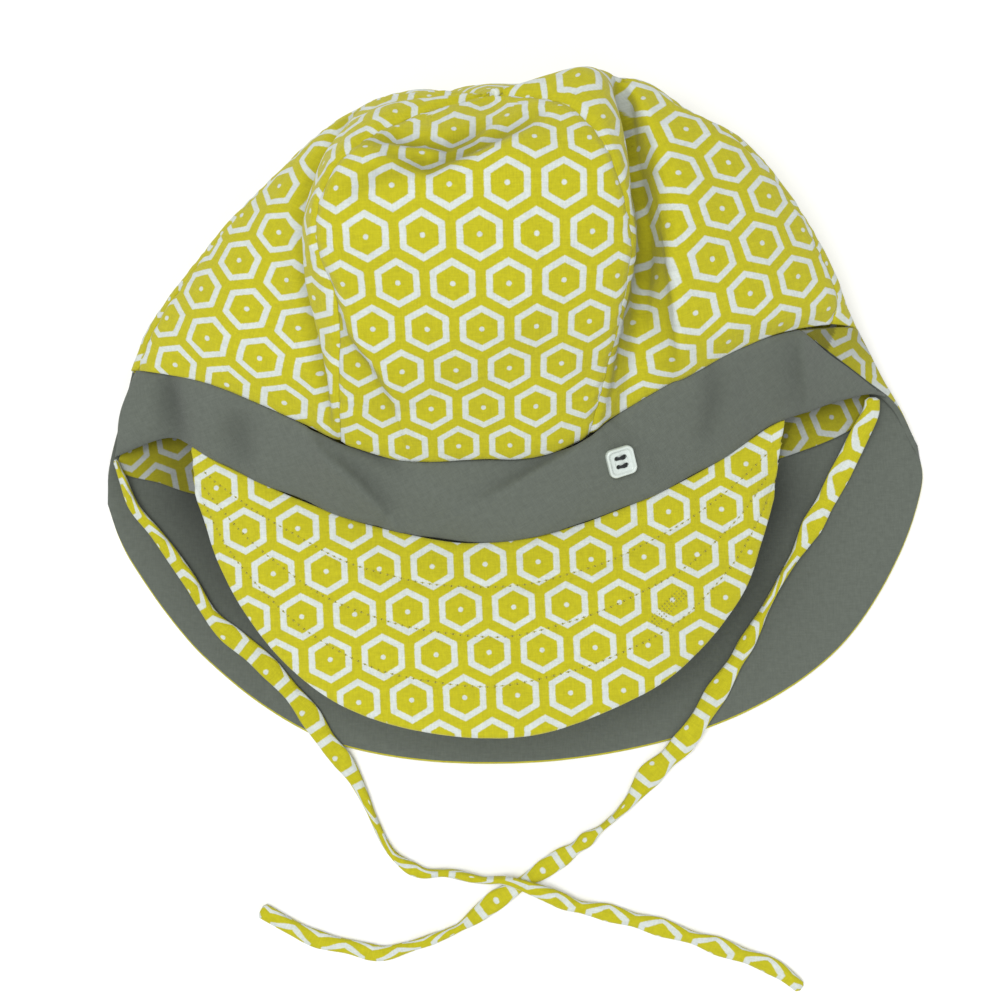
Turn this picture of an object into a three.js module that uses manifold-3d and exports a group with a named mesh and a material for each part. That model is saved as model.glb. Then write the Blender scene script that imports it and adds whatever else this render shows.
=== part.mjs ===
import * as THREE from "three";
import { mergeVertices } from "three/addons/utils/BufferGeometryUtils.js";
import Module from "manifold-3d";

// A baby's cotton sun hat lying on its back: a crown of six panels, a plain band with a button
// across the front, a quilted visor, a neck flap and two ties. Millimetres. The table is z = 0,
// +Y points to the top of the crown, and +X to the right of someone who looks down on the hat.

// Cloth thicknesses, each with its lining
const CROWN_CLOTH = 1.6;
const BAND_CLOTH = 2;
const VISOR_CLOTH = 2.6;
const FLAP_CLOTH = 2;
const LINING_CLOTH = 1;
const TIE_WIDTH = 7.5;
const TIE_CLOTH = 1.6;

// Clearances
const SEAM_GAP = 0.5;
const LAYER_GAP = 0.6;

// The crown's meridians, each from the lower edge to just short of the top, as [x, y, z]
const CROWN_TOP = [-8, 95, 60];
const MERIDIANS = {
  backMiddle: [
    [-8, 7, 0], [-8, 22, 0], [-8, 45, 0], [-8, 64, 0],
    [-8, 83, 0], [-8, 100, 4], [-8, 105, 30],
  ],
  leftSide: [
    [-122, 21, 6], [-115, 34, 8], [-102, 51, 11], [-88, 66, 13],
    [-74, 79, 15], [-57, 92, 20], [-37, 100, 38],
  ],
  leftEdge: [
    [-120, 21, 12], [-113, 34, 17], [-100, 51, 22], [-86, 66, 27],
    [-73, 78, 31], [-55, 91, 40], [-36, 98, 48],
  ],
  leftValley: [
    [-61, 1, 33], [-63, 17, 41], [-65, 36, 45], [-66, 56, 46],
    [-63, 70, 46], [-55, 84, 49], [-38, 93, 56],
  ],
  leftShoulder: [
    [-57, -1, 35], [-57, 15, 46], [-58, 35, 56], [-61, 54, 61],
    [-58, 67, 62], [-51, 80, 64], [-35, 91, 63],
  ],
  leftSeam: [
    [-53, -3, 36], [-52, 13, 49], [-51, 35, 63], [-56, 51, 71],
    [-54, 64, 74], [-47, 75, 74], [-31, 86, 68],
  ],
  frontMiddle: [
    [-13, -8, 36], [-12, 12, 52], [-11, 30, 66], [-11, 48, 76],
    [-11, 61, 80], [-11, 74, 79], [-9, 85, 70],
  ],
  rightSeam: [
    [22, -1, 35], [26, 15, 45], [30, 34, 59], [32, 51, 68],
    [29, 64, 73], [24, 77, 74], [13, 90, 68],
  ],
  rightShoulder: [
    [27, 3, 34], [31, 18, 43], [34, 37, 53], [36, 55, 59],
    [33, 70, 62], [29, 86, 62], [20, 101, 60],
  ],
  rightValley: [
    [31, 6, 32], [35, 20, 39], [37, 39, 44], [38, 58, 44],
    [35, 74, 43], [32, 90, 42], [26, 104, 48],
  ],
  rightCrest: [
    [49, 16, 36], [48, 27, 45], [45, 42, 51], [46, 59, 52],
    [42, 77, 51], [37, 93, 48], [32, 104, 43],
  ],
  rightEdge: [
    [98, 34, 22], [99, 42, 24], [92, 57, 28], [81, 74, 31],
    [65, 89, 35], [50, 96, 39], [37, 104, 39],
  ],
  rightSide: [
    [107, 34, 14], [102, 43, 14], [94, 58, 14], [82, 75, 15],
    [66, 91, 17], [51, 98, 20], [37, 106, 32],
  ],
};

// How the loop round the crown is filled in between those meridians
const FLANK_AT = 0.45;
const FLANK_BULGE = 0.08;
const FRONT_AT = 0.5;
const FRONT_HEIGHT = 0.88;
const LOWER_EDGE_DROP = 3;
const LOWER_FLANK_RISE = 3;
const UNDER_AT = 0.12;
const BACK_SEAM_AT = 0.55;
const LOOP = [
  "backMiddle", "backLeftSeam", "leftUnder", "leftSide", "leftEdge", "leftFlank", "leftValley",
  "leftShoulder", "leftSeam", "frontLeft", "frontMiddle", "frontRight", "rightSeam", "rightShoulder",
  "rightValley", "rightCrest", "rightFlank", "rightEdge", "rightSide", "rightUnder", "backRightSeam",
];
const CROWN_ROWS = 14;
const TOP_HOLE = 0.2;
const MOST_INSET = 0.4;
const PANELS = [
  { name: "crown_back_panel", from: "backRightSeam", to: "backLeftSeam", steps: 8 },
  { name: "crown_back_left_panel", from: "backLeftSeam", to: "leftEdge", steps: 9 },
  { name: "crown_front_left_panel", from: "leftEdge", to: "leftSeam", steps: 12 },
  { name: "crown_front_panel", from: "leftSeam", to: "rightSeam", steps: 12 },
  { name: "crown_front_right_panel", from: "rightSeam", to: "rightEdge", steps: 15 },
  { name: "crown_back_right_panel", from: "rightEdge", to: "backRightSeam", steps: 9 },
];

// The band runs from the left side seam to just short of the right one, above its lower edge
const BAND_RIGHT_END = 0.75;
const BAND_BULGE = 1.5;
const BAND_END_GAP = 0.003;
const BAND_STEPS = 36;
const BAND_ROWS = 4;
const BAND_LOWER_EDGE = [
  [-128, -7, 9], [-109, -1, 13], [-92, -9, 18], [-74, -17, 22], [-43, -28, 27], [-13, -33, 29],
  [13, -29, 28], [43, -18, 25], [61, -9, 21], [82, 4, 17], [111, 13, 12],
];

// The visor hangs from the band's lower edge between two shares of the band's length
const VISOR_FROM = 0.11;
const VISOR_TO = 0.87;
const VISOR_ARCH = 3;
const VISOR_STEPS = 28;
const VISOR_ROWS = 6;
const VISOR_OUTER_EDGE = [
  [-100, -20, 16], [-89, -43, 22], [-74, -64, 31], [-55, -79, 39], [-29, -87, 45], [1, -89, 46],
  [28, -82, 42], [50, -70, 35], [70, -48, 25], [80, -21, 17],
];

// The neck flap's lines from the crown's lower edge, where each starts on the loop, over the end
// of the lining to the hem
const FLAP_LINES = [
  { start: 16.75, points: [[113, 15, 13], [125, 2, 6], [129, -9, 1]] },
  { start: 18, points: [[122, 10, 8], [128, -5, 3], [130, -17, 0]] },
  { start: 19, points: [[109, 4, 0], [116, -20, 0], [123, -38, 0]] },
  { start: 19.6, points: [[86, -6, 0], [98, -49, 0], [102, -69, 0]] },
  { start: 20.2, points: [[42, -17, 0], [56, -72, 0], [64, -92, 0]] },
  { start: 21, points: [[-8, -22, 0], [-2, -81, 0], [3, -104, 0]] },
  { start: 21.6, points: [[-60, -20, 0], [-60, -75, 0], [-60, -97, 0]] },
  { start: 22.4, points: [[-102, -18, 0], [-107, -49, 0], [-100, -70, 0]] },
  { start: 23, points: [[-115, -14, 0], [-118, -32, 0], [-120, -42, 0]] },
  { start: 24, points: [[-127, -10, 2], [-128, -16, 1], [-129, -23, 0]] },
  { start: 24.8, points: [[-127, -8, 5.5], [-129, -11, 3], [-130, -15, 0.4]] },
];
const FLAP_START = 0.025;
const FLAP_SEAM = 1;
const FLAP_HEM = 3;
const FLAP_STEPS = 40;
const FLAP_ROWS = 9;
const LINING_FROM = 1.6;
const LINING_TO = 8.3;
const LINING_ROWS = 3;

// The ties' middle lines, from the inside of the band's ends to the free ends on the table
const TIE_STEPS = 60;
const LEFT_TIE = [
  [-118, -14, 4.7], [-117, -20, 4.5], [-115, -31, 3.3], [-105, -45, 3.2], [-96, -59, 3.2],
  [-82, -71, 3.2], [-69, -85, 3.2], [-60, -98, 3.3], [-56, -103, 2.6], [-52, -109, 1.2],
  [-49, -115, 0.9], [-41, -132, 0.9], [-36, -137, 0.9], [-30, -140, 0.9], [-22, -140, 1],
  [-11, -142, 1.9], [-3, -142, 3.1], [9, -146, 3.1], [18, -150, 1.9], [30, -153, 0.9],
  [48, -158, 0.9], [66, -164, 0.9], [84, -171, 0.9], [92, -177, 0.9],
];
const RIGHT_TIE = [
  [107, 2, 4.8], [105, -6, 4.4], [103, -14, 3.3], [93, -32, 3.2], [83, -49, 3.2],
  [74, -66, 3.2], [63, -84, 3.2], [56, -95, 3.3], [52, -100, 2.6], [47, -105, 1.2],
  [43, -109, 0.9], [35, -119, 0.9], [22, -130, 0.9], [9, -139, 0.9], [-5, -148, 0.9],
  [-19, -158, 0.9], [-35, -164, 0.9], [-43, -166, 0.9], [-53, -164, 0.9], [-65, -161, 0.9],
  [-82, -152, 0.9],
];

// The button
const BUTTON_SIDE = 8.8;
const BUTTON_CORNER = 2;
const BUTTON_THICKNESS = 1.4;
const BUTTON_RIM = 0.9;
const BUTTON_RIM_RISE = 0.7;
const BUTTON_HOLE_RADIUS = 0.65;
const BUTTON_HOLE_SPACING = 2.6;
const BUTTON_TURN = 0.26;
const BUTTON_ALONG = 0.672;
const BUTTON_ACROSS = 0.42;
const BUTTON_SEAT = 0.4;

// How finely curves are read, and how near two points are one
const EDGE_STEPS = 240;
const CORNER_STEPS = 5;
const SHORTEST_STEP = 1e-3;
const NORMAL_REACH = 0.004;
const SEAM_REACH = 0.05;
const MERGE_WITHIN = 1e-4;

const PRINTED_COTTON = { color: 0xcec523, roughness: 0.92, metalness: 0 };
const GREY_COTTON = { color: 0x62685f, roughness: 0.92, metalness: 0 };
const BUTTON_PLASTIC = { color: 0xd6e0da, roughness: 0.3, metalness: 0 };

// A smooth curve through points, with knots spaced by the square root of the distances

function knotStep(a, b) {
  return Math.max(Math.sqrt(a.distanceTo(b)), SHORTEST_STEP);
}

function blend(a, b, from, to, t) {
  return a.clone().lerp(b, (t - from) / (to - from));
}

function between(before, start, end, after, share) {
  const t0 = -knotStep(before, start);
  const t2 = knotStep(start, end);
  const t3 = t2 + knotStep(end, after);
  const t = share * t2;
  const a = blend(before, start, t0, 0, t);
  const b = blend(start, end, 0, t2, t);
  const c = blend(end, after, t2, t3, t);
  return blend(blend(a, b, t0, t2, t), blend(b, c, 0, t3, t), 0, t2, t);
}

function pointOn(points, at, closed = false) {
  const count = points.length;
  if (closed) {
    const first = Math.floor(at);
    const pick = (index) => points[((index % count) + count) % count];
    return between(pick(first - 1), pick(first), pick(first + 1), pick(first + 2), at - first);
  }
  const first = Math.min(Math.max(Math.floor(at), 0), count - 2);
  const start = points[first];
  const end = points[first + 1];
  const before = first > 0 ? points[first - 1] : start.clone().multiplyScalar(2).sub(end);
  const after = first < count - 2 ? points[first + 2] : end.clone().multiplyScalar(2).sub(start);
  return between(before, start, end, after, at - first);
}

// Cloth that would sag below the table lies on it
function onTable(point) {
  point.z = Math.max(point.z, 0);
  return point;
}

function vectors(list) {
  return list.map(([x, y, z]) => new THREE.Vector3(x, y, z));
}

function steps(from, to, count) {
  return Array.from({ length: count + 1 }, (_, i) => from + ((to - from) * i) / count);
}

// A closed sheet of cloth: a face given as at(u, v), a second face a thickness away, and an edge

function faceNormal(at, u, v) {
  const along = at(u + NORMAL_REACH, v).sub(at(u - NORMAL_REACH, v));
  const across = at(u, v + NORMAL_REACH).sub(at(u, v - NORMAL_REACH));
  return along.cross(across).normalize();
}

function sheetGeometry(at, us, vs, thickness, lift = 0) {
  const positions = [];
  const width = us.length;
  const height = vs.length;
  const end = width - 1;
  const last = height - 1;
  for (const level of [lift, lift + thickness]) {
    for (const v of vs) {
      for (const u of us) {
        const point = onTable(at(u, v).addScaledVector(faceNormal(at, u, v), level));
        positions.push(point.x, point.y, point.z);
      }
    }
  }
  const faces = [];
  const inside = thickness < 0;
  const quad = (a, b, c, d) => {
    faces.push(...(inside ? [a, b, c, a, c, d] : [a, c, b, a, d, c]));
  };
  const index = (i, j, level) => level * width * height + j * width + i;
  for (let j = 0; j < last; j += 1) {
    for (let i = 0; i < end; i += 1) {
      quad(index(i, j, 0), index(i + 1, j, 0), index(i + 1, j + 1, 0), index(i, j + 1, 0));
      quad(index(i, j, 1), index(i, j + 1, 1), index(i + 1, j + 1, 1), index(i + 1, j, 1));
    }
  }
  for (let i = 0; i < end; i += 1) {
    quad(index(i + 1, 0, 0), index(i, 0, 0), index(i, 0, 1), index(i + 1, 0, 1));
    quad(index(i, last, 0), index(i + 1, last, 0), index(i + 1, last, 1), index(i, last, 1));
  }
  for (let j = 0; j < last; j += 1) {
    quad(index(0, j, 0), index(0, j + 1, 0), index(0, j + 1, 1), index(0, j, 1));
    quad(index(end, j + 1, 0), index(end, j, 0), index(end, j, 1), index(end, j + 1, 1));
  }
  const geometry = new THREE.BufferGeometry();
  geometry.setAttribute("position", new THREE.Float32BufferAttribute(positions, 3));
  geometry.setIndex(faces);
  geometry.computeVertexNormals();
  return geometry;
}

function piece(name, geometry, material) {
  const mesh = new THREE.Mesh(geometry, new THREE.MeshStandardMaterial(material));
  mesh.name = name;
  return mesh;
}

// Crown: the loop of points at one height, and the panels between its seams

const meridians = Object.fromEntries(
  Object.entries(MERIDIANS).map(([name, points]) => [name, vectors([...points, CROWN_TOP])]),
);
const LAST_ROW = meridians.backMiddle.length - 1;

function partWay(a, b, share, heightShare) {
  const point = a.clone().lerp(b, share);
  point.z = a.z + (b.z - a.z) * heightShare;
  return point;
}

function flank(edge, inner) {
  const point = edge.clone().lerp(inner, FLANK_AT);
  point.z += FLANK_BULGE * edge.distanceTo(inner);
  return point;
}

const loops = new Map();

function crownLoop(row) {
  const known = loops.get(row);
  if (known) {
    return known;
  }
  const at = Object.fromEntries(
    Object.entries(meridians).map(([name, points]) => [name, pointOn(points, row)]),
  );
  at.backLeftSeam = partWay(at.backMiddle, at.leftSide, BACK_SEAM_AT, 0);
  at.backRightSeam = partWay(at.backMiddle, at.rightSide, BACK_SEAM_AT, 0);
  at.leftUnder = partWay(at.leftSide, at.backMiddle, UNDER_AT, 1);
  at.rightUnder = partWay(at.rightSide, at.backMiddle, UNDER_AT, 1);
  at.leftFlank = flank(at.leftEdge, at.leftValley);
  at.rightFlank = flank(at.rightEdge, at.rightCrest);
  at.frontLeft = partWay(at.leftSeam, at.frontMiddle, FRONT_AT, FRONT_HEIGHT);
  at.frontRight = partWay(at.rightSeam, at.frontMiddle, FRONT_AT, FRONT_HEIGHT);
  const lowest = Math.max(0, 1 - row);
  at.frontLeft.y -= LOWER_EDGE_DROP * lowest;
  at.frontRight.y -= LOWER_EDGE_DROP * lowest;
  at.leftFlank.y += LOWER_FLANK_RISE * lowest;
  at.rightFlank.y += LOWER_FLANK_RISE * lowest;
  const loop = LOOP.map((name) => at[name]);
  loops.set(row, loop);
  return loop;
}

function onCrown(u, v) {
  return onTable(pointOn(crownLoop(v), u, true));
}

// How far along the loop half a seam's gap reaches, at one height
function seamInset(u, v) {
  const reach = onCrown(u + SEAM_REACH, v).distanceTo(onCrown(u - SEAM_REACH, v));
  const speed = reach / (2 * SEAM_REACH);
  return Math.min(SEAM_GAP / 2 / speed, MOST_INSET);
}

function crownPanel({ name, from, to, steps: count }) {
  const first = LOOP.indexOf(from);
  const last = LOOP.indexOf(to) + (LOOP.indexOf(to) < first ? LOOP.length : 0);
  const at = (share, v) => {
    const start = first + seamInset(first, v);
    const end = last - seamInset(last, v);
    return onCrown(start + (end - start) * share, v);
  };
  const rows = steps(0, LAST_ROW - TOP_HOLE, CROWN_ROWS);
  return piece(name, sheetGeometry(at, steps(0, 1, count), rows, -CROWN_CLOTH), PRINTED_COTTON);
}

// A smooth run of points made even in length, read by a share of it from 0 to 1
function evenly(points) {
  const lengths = [0];
  for (let i = 1; i < points.length; i += 1) {
    lengths.push(lengths[i - 1] + points[i].distanceTo(points[i - 1]));
  }
  const total = lengths[lengths.length - 1];
  return (share) => {
    const wanted = share * total;
    let i = lengths.findIndex((length) => length >= wanted);
    i = i < 1 ? (wanted > 0 ? points.length - 1 : 1) : i;
    return blend(points[i - 1], points[i], lengths[i - 1], lengths[i], wanted);
  };
}

// Band

const lowerEdgePoints = vectors(BAND_LOWER_EDGE);
const bandFirst = LOOP.indexOf("leftEdge");
const bandLast = LOOP.indexOf("rightFlank") + BAND_RIGHT_END;
const bandUpperEdge = evenly(steps(bandFirst, bandLast, EDGE_STEPS).map((u) => onCrown(u, 0)));
const bandLowerEdge = evenly(
  steps(0, lowerEdgePoints.length - 1, EDGE_STEPS).map((u) => pointOn(lowerEdgePoints, u)),
);

function towards(from, to, distance) {
  return from.clone().addScaledVector(to.clone().sub(from).normalize(), distance);
}

function onBand(u, v) {
  const upper = bandUpperEdge(u);
  const lower = bandLowerEdge(u);
  const point = towards(upper, lower, SEAM_GAP).lerp(lower, v);
  point.z += BAND_BULGE * Math.sin(Math.PI * v);
  return point;
}

function frontBand() {
  const us = steps(BAND_END_GAP, 1 - BAND_END_GAP, BAND_STEPS);
  const vs = steps(0, 1, BAND_ROWS);
  return piece("front_band", sheetGeometry(onBand, us, vs, BAND_CLOTH), GREY_COTTON);
}

// Visor

const visorEdgePoints = vectors(VISOR_OUTER_EDGE);
const visorEdge = evenly(
  steps(0, visorEdgePoints.length - 1, EDGE_STEPS).map((u) => pointOn(visorEdgePoints, u)),
);

function onVisor(u, v) {
  const root = bandLowerEdge(VISOR_FROM + (VISOR_TO - VISOR_FROM) * u);
  const edge = visorEdge(u);
  const point = towards(root, edge, SEAM_GAP).lerp(edge, v);
  point.z += VISOR_ARCH * Math.sin(Math.PI * v) * Math.sin(Math.PI * u);
  return point;
}

function visor() {
  const us = steps(0, 1, VISOR_STEPS);
  const vs = steps(0, 1, VISOR_ROWS);
  return piece("visor", sheetGeometry(onVisor, us, vs, VISOR_CLOTH), PRINTED_COTTON);
}

// Neck flap, and the end of the crown's lining that lies inside it

const flapLines = FLAP_LINES.map(({ start, points }) => [onCrown(start, 0), ...vectors(points)]);

function onFlap(u, v) {
  return onTable(pointOn(flapLines.map((line) => pointOn(line, v)), u));
}

function neckFlap() {
  const us = steps(0, FLAP_LINES.length - 1, FLAP_STEPS);
  const vs = steps(FLAP_START, FLAP_HEM, FLAP_ROWS);
  return piece("neck_flap", sheetGeometry(onFlap, us, vs, FLAP_CLOTH), GREY_COTTON);
}

function liningEnd() {
  const lift = FLAP_CLOTH + LAYER_GAP;
  const us = steps(LINING_FROM, LINING_TO, FLAP_STEPS);
  const vs = steps(FLAP_START, FLAP_SEAM, LINING_ROWS);
  return piece("lining_end", sheetGeometry(onFlap, us, vs, LINING_CLOTH, lift), PRINTED_COTTON);
}

// Ties: flat strips that lie with their width level

class RibbonPath extends THREE.CatmullRomCurve3 {
  computeFrenetFrames(segments) {
    const up = new THREE.Vector3(0, 0, 1);
    const tangents = steps(0, 1, segments).map((share) => this.getTangentAt(share));
    const binormals = tangents.map((tangent) => tangent.clone().cross(up).normalize());
    const normals = tangents.map((tangent, i) => binormals[i].clone().cross(tangent));
    return { tangents, normals, binormals };
  }
}

function tie(name, route) {
  const half = TIE_WIDTH / 2;
  const thick = TIE_CLOTH / 2;
  const section = new THREE.Shape([
    new THREE.Vector2(thick, thick - half),
    new THREE.Vector2(thick, half - thick),
    new THREE.Vector2(thick / 2, half),
    new THREE.Vector2(-thick / 2, half),
    new THREE.Vector2(-thick, half - thick),
    new THREE.Vector2(-thick, thick - half),
    new THREE.Vector2(-thick / 2, -half),
    new THREE.Vector2(thick / 2, -half),
  ]);
  const path = new RibbonPath(vectors(route), false, "centripetal");
  const geometry = new THREE.ExtrudeGeometry(section, { steps: TIE_STEPS, extrudePath: path });
  return piece(name, geometry, PRINTED_COTTON);
}

// Button: a square plate with round corners, four holes and a raised rim

const wasm = await Module();
wasm.setup();

function solid(geometry) {
  geometry.deleteAttribute("normal");
  geometry.deleteAttribute("uv");
  const merged = mergeVertices(geometry, MERGE_WITHIN);
  return new wasm.Manifold(
    new wasm.Mesh({
      numProp: 3,
      vertProperties: new Float32Array(merged.attributes.position.array),
      triVerts: new Uint32Array(merged.index.array),
    }),
  );
}

function geometryOf(manifold) {
  const mesh = manifold.getMesh();
  const geometry = new THREE.BufferGeometry();
  geometry.setAttribute("position", new THREE.Float32BufferAttribute(mesh.vertProperties, 3));
  geometry.setIndex(Array.from(mesh.triVerts));
  geometry.computeVertexNormals();
  return geometry;
}

function roundedSquare(side, corner) {
  const half = side / 2;
  const shape = new THREE.Shape();
  const turns = [0, 1, 2, 3];
  const inner = half - corner;
  const centres = [[inner, inner], [-inner, inner], [-inner, -inner], [inner, -inner]];
  turns.forEach((turn) => {
    const [x, y] = centres[turn];
    shape.absarc(x, y, corner, (turn * Math.PI) / 2, ((turn + 1) * Math.PI) / 2, false);
  });
  shape.closePath();
  return shape;
}

function buttonGeometry() {
  const plate = roundedSquare(BUTTON_SIDE, BUTTON_CORNER);
  for (const x of [-1, 1]) {
    for (const y of [-1, 1]) {
      const hole = new THREE.Path();
      const middle = BUTTON_HOLE_SPACING / 2;
      hole.absarc(x * middle, y * middle, BUTTON_HOLE_RADIUS, 0, 2 * Math.PI, true);
      plate.holes.push(hole);
    }
  }
  const rim = roundedSquare(BUTTON_SIDE, BUTTON_CORNER);
  rim.holes.push(roundedSquare(BUTTON_SIDE - 2 * BUTTON_RIM, BUTTON_CORNER - BUTTON_RIM));
  const options = { bevelEnabled: false, curveSegments: CORNER_STEPS };
  const plateSolid = solid(new THREE.ExtrudeGeometry(plate, { ...options, depth: BUTTON_THICKNESS }));
  const rimHeight = BUTTON_THICKNESS + BUTTON_RIM_RISE;
  const rimSolid = solid(new THREE.ExtrudeGeometry(rim, { ...options, depth: rimHeight }));
  return geometryOf(plateSolid.add(rimSolid));
}

function button() {
  const mesh = piece("button", buttonGeometry(), BUTTON_PLASTIC);
  const up = faceNormal(onBand, BUTTON_ALONG, BUTTON_ACROSS).negate();
  const lean = new THREE.Quaternion().setFromUnitVectors(new THREE.Vector3(0, 0, 1), up);
  const turn = new THREE.Quaternion().setFromAxisAngle(new THREE.Vector3(0, 0, 1), BUTTON_TURN);
  mesh.quaternion.copy(lean.multiply(turn));
  mesh.position.copy(onBand(BUTTON_ALONG, BUTTON_ACROSS)).addScaledVector(up, BUTTON_SEAT);
  return mesh;
}

// The hat

const hat = new THREE.Group();
hat.name = "baby_sun_hat";
hat.add(...PANELS.map(crownPanel));
hat.add(frontBand(), visor(), neckFlap(), liningEnd());
hat.add(tie("tie_left", LEFT_TIE), tie("tie_right", RIGHT_TIE), button());

export default hat;
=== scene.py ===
"""A baby's cotton sun hat lying on its back, built piece by piece.

Six printed panels make the crown. A plain band with a button crosses the front, and a quilted
visor, a neck flap and two ties hang from it. The tables are in millimetres. The hat lies on the
plane z = 0, and +Y points to the top of the crown.
"""

import math
from functools import partial

import bmesh
import bpy
import numpy as np
from bpy.props import FloatProperty, FloatVectorProperty, IntProperty, PointerProperty
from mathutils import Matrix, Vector


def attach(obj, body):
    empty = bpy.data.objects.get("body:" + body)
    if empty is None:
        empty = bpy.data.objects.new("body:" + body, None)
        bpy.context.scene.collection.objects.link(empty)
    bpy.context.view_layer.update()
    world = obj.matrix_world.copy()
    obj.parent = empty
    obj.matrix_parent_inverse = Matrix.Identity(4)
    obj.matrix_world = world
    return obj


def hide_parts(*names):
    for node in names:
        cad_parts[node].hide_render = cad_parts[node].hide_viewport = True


bl_info = {
    "name": "Baby sun hat",
    "version": (1, 0, 0),
    "blender": (4, 5, 0),
    "location": "3D View > Sidebar > Sun Hat",
    "description": "Builds a baby's sun hat of printed and plain cotton",
    "category": "Object",
}

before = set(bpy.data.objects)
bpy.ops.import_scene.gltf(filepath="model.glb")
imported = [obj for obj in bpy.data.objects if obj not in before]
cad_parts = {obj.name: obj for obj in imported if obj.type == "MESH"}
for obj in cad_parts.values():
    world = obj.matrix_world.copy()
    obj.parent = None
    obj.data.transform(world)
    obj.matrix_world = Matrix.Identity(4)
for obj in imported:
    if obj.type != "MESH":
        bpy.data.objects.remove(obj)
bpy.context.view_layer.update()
MM = 0.001

# The crown's meridians, each from the lower edge to just short of the top
CROWN_TOP = [-8, 95, 60]
MERIDIANS = {
    "back middle": [[-8, 7, 0], [-8, 22, 0], [-8, 45, 0], [-8, 64, 0], [-8, 83, 0],
                    [-8, 100, 4], [-8, 105, 30]],
    "left side": [[-122, 21, 6], [-115, 34, 8], [-102, 51, 11], [-88, 66, 13], [-74, 79, 15],
                  [-57, 92, 20], [-37, 100, 38]],
    "left edge": [[-120, 21, 12], [-113, 34, 17], [-100, 51, 22], [-86, 66, 27], [-73, 78, 31],
                  [-55, 91, 40], [-36, 98, 48]],
    "left valley": [[-61, 1, 33], [-63, 17, 41], [-65, 36, 45], [-66, 56, 46], [-63, 70, 46],
                    [-55, 84, 49], [-38, 93, 56]],
    "left shoulder": [[-57, -1, 35], [-57, 15, 46], [-58, 35, 56], [-61, 54, 61],
                      [-58, 67, 62], [-51, 80, 64], [-35, 91, 63]],
    "left seam": [[-53, -3, 36], [-52, 13, 49], [-51, 35, 63], [-56, 51, 71], [-54, 64, 74],
                  [-47, 75, 74], [-31, 86, 68]],
    "front middle": [[-13, -8, 36], [-12, 12, 52], [-11, 30, 66], [-11, 48, 76],
                     [-11, 61, 80], [-11, 74, 79], [-9, 85, 70]],
    "right seam": [[22, -1, 35], [26, 15, 45], [30, 34, 59], [32, 51, 68], [29, 64, 73],
                   [24, 77, 74], [13, 90, 68]],
    "right shoulder": [[27, 3, 34], [31, 18, 43], [34, 37, 53], [36, 55, 59], [33, 70, 62],
                       [29, 86, 62], [20, 101, 60]],
    "right valley": [[31, 6, 32], [35, 20, 39], [37, 39, 44], [38, 58, 44], [35, 74, 43],
                     [32, 90, 42], [26, 104, 48]],
    "right crest": [[49, 16, 36], [48, 27, 45], [45, 42, 51], [46, 59, 52], [42, 77, 51],
                    [37, 93, 48], [32, 104, 43]],
    "right edge": [[98, 34, 22], [99, 42, 24], [92, 57, 28], [81, 74, 31], [65, 89, 35],
                   [50, 96, 39], [37, 104, 39]],
    "right side": [[107, 34, 14], [102, 43, 14], [94, 58, 14], [82, 75, 15], [66, 91, 17],
                   [51, 98, 20], [37, 106, 32]],
}

# The small gather of cloth behind the point where the six panels meet
GATHER = (-5.2, 92.9, 58.8)
GATHER_HALF = (3, 2.7, 1.8)

# The loop round the crown: its lines in order, counted from 0
LOOP = [
    "back middle", "back left seam", "left under", "left side", "left edge", "left flank",
    "left valley", "left shoulder", "left seam", "front left", "front middle", "front right",
    "right seam", "right shoulder", "right valley", "right crest", "right flank",
    "right edge", "right side", "right under", "back right seam",
]

# Each panel's first and last place on the loop, and how many columns of points it has. All have
# the same rows, up to just short of the top, which is the eighth point of every line.
PANELS = {
    "crown_front_panel": {"first": 8, "last": 12, "columns": 150},
    "crown_front_left_panel": {"first": 4, "last": 8, "columns": 170},
    "crown_front_right_panel": {"first": 12, "last": 17, "columns": 200},
    "crown_back_left_panel": {"first": 1, "last": 4, "columns": 70},
    "crown_back_panel": {"first": 20, "last": 22, "columns": 110},
    "crown_back_right_panel": {"first": 17, "last": 20, "columns": 70},
}
PANEL_ROWS = 120
PANEL_END = 6.99

# The band runs from its part of the crown's loop to its lower edge, where the visor hangs from a
# part of it. Both spans are shares of an edge's length.
BAND_LOWER_EDGE = [
    [-128, -7, 9], [-109, -1, 13], [-92, -9, 18], [-74, -17, 22], [-43, -28, 27],
    [-13, -33, 29], [13, -29, 28], [43, -18, 25], [61, -9, 21], [82, 4, 17], [99, 10.4, 14],
    [112, 13.2, 11.8], [118, 12, 9],
]
BAND_ENDS = (4, 16.42)
BAND_SPAN = (0.003, 0.997)
VISOR_OUTER_EDGE = [
    [-100, -20, 16], [-90.4, -43, 22], [-74.4, -64, 31], [-55, -79, 39], [-29, -87, 45],
    [1, -88.6, 46], [28, -81.3, 42], [49.5, -70, 35], [69.8, -48, 25], [80, -21, 17],
]
VISOR_SPAN = (0.108, 0.862)

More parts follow.
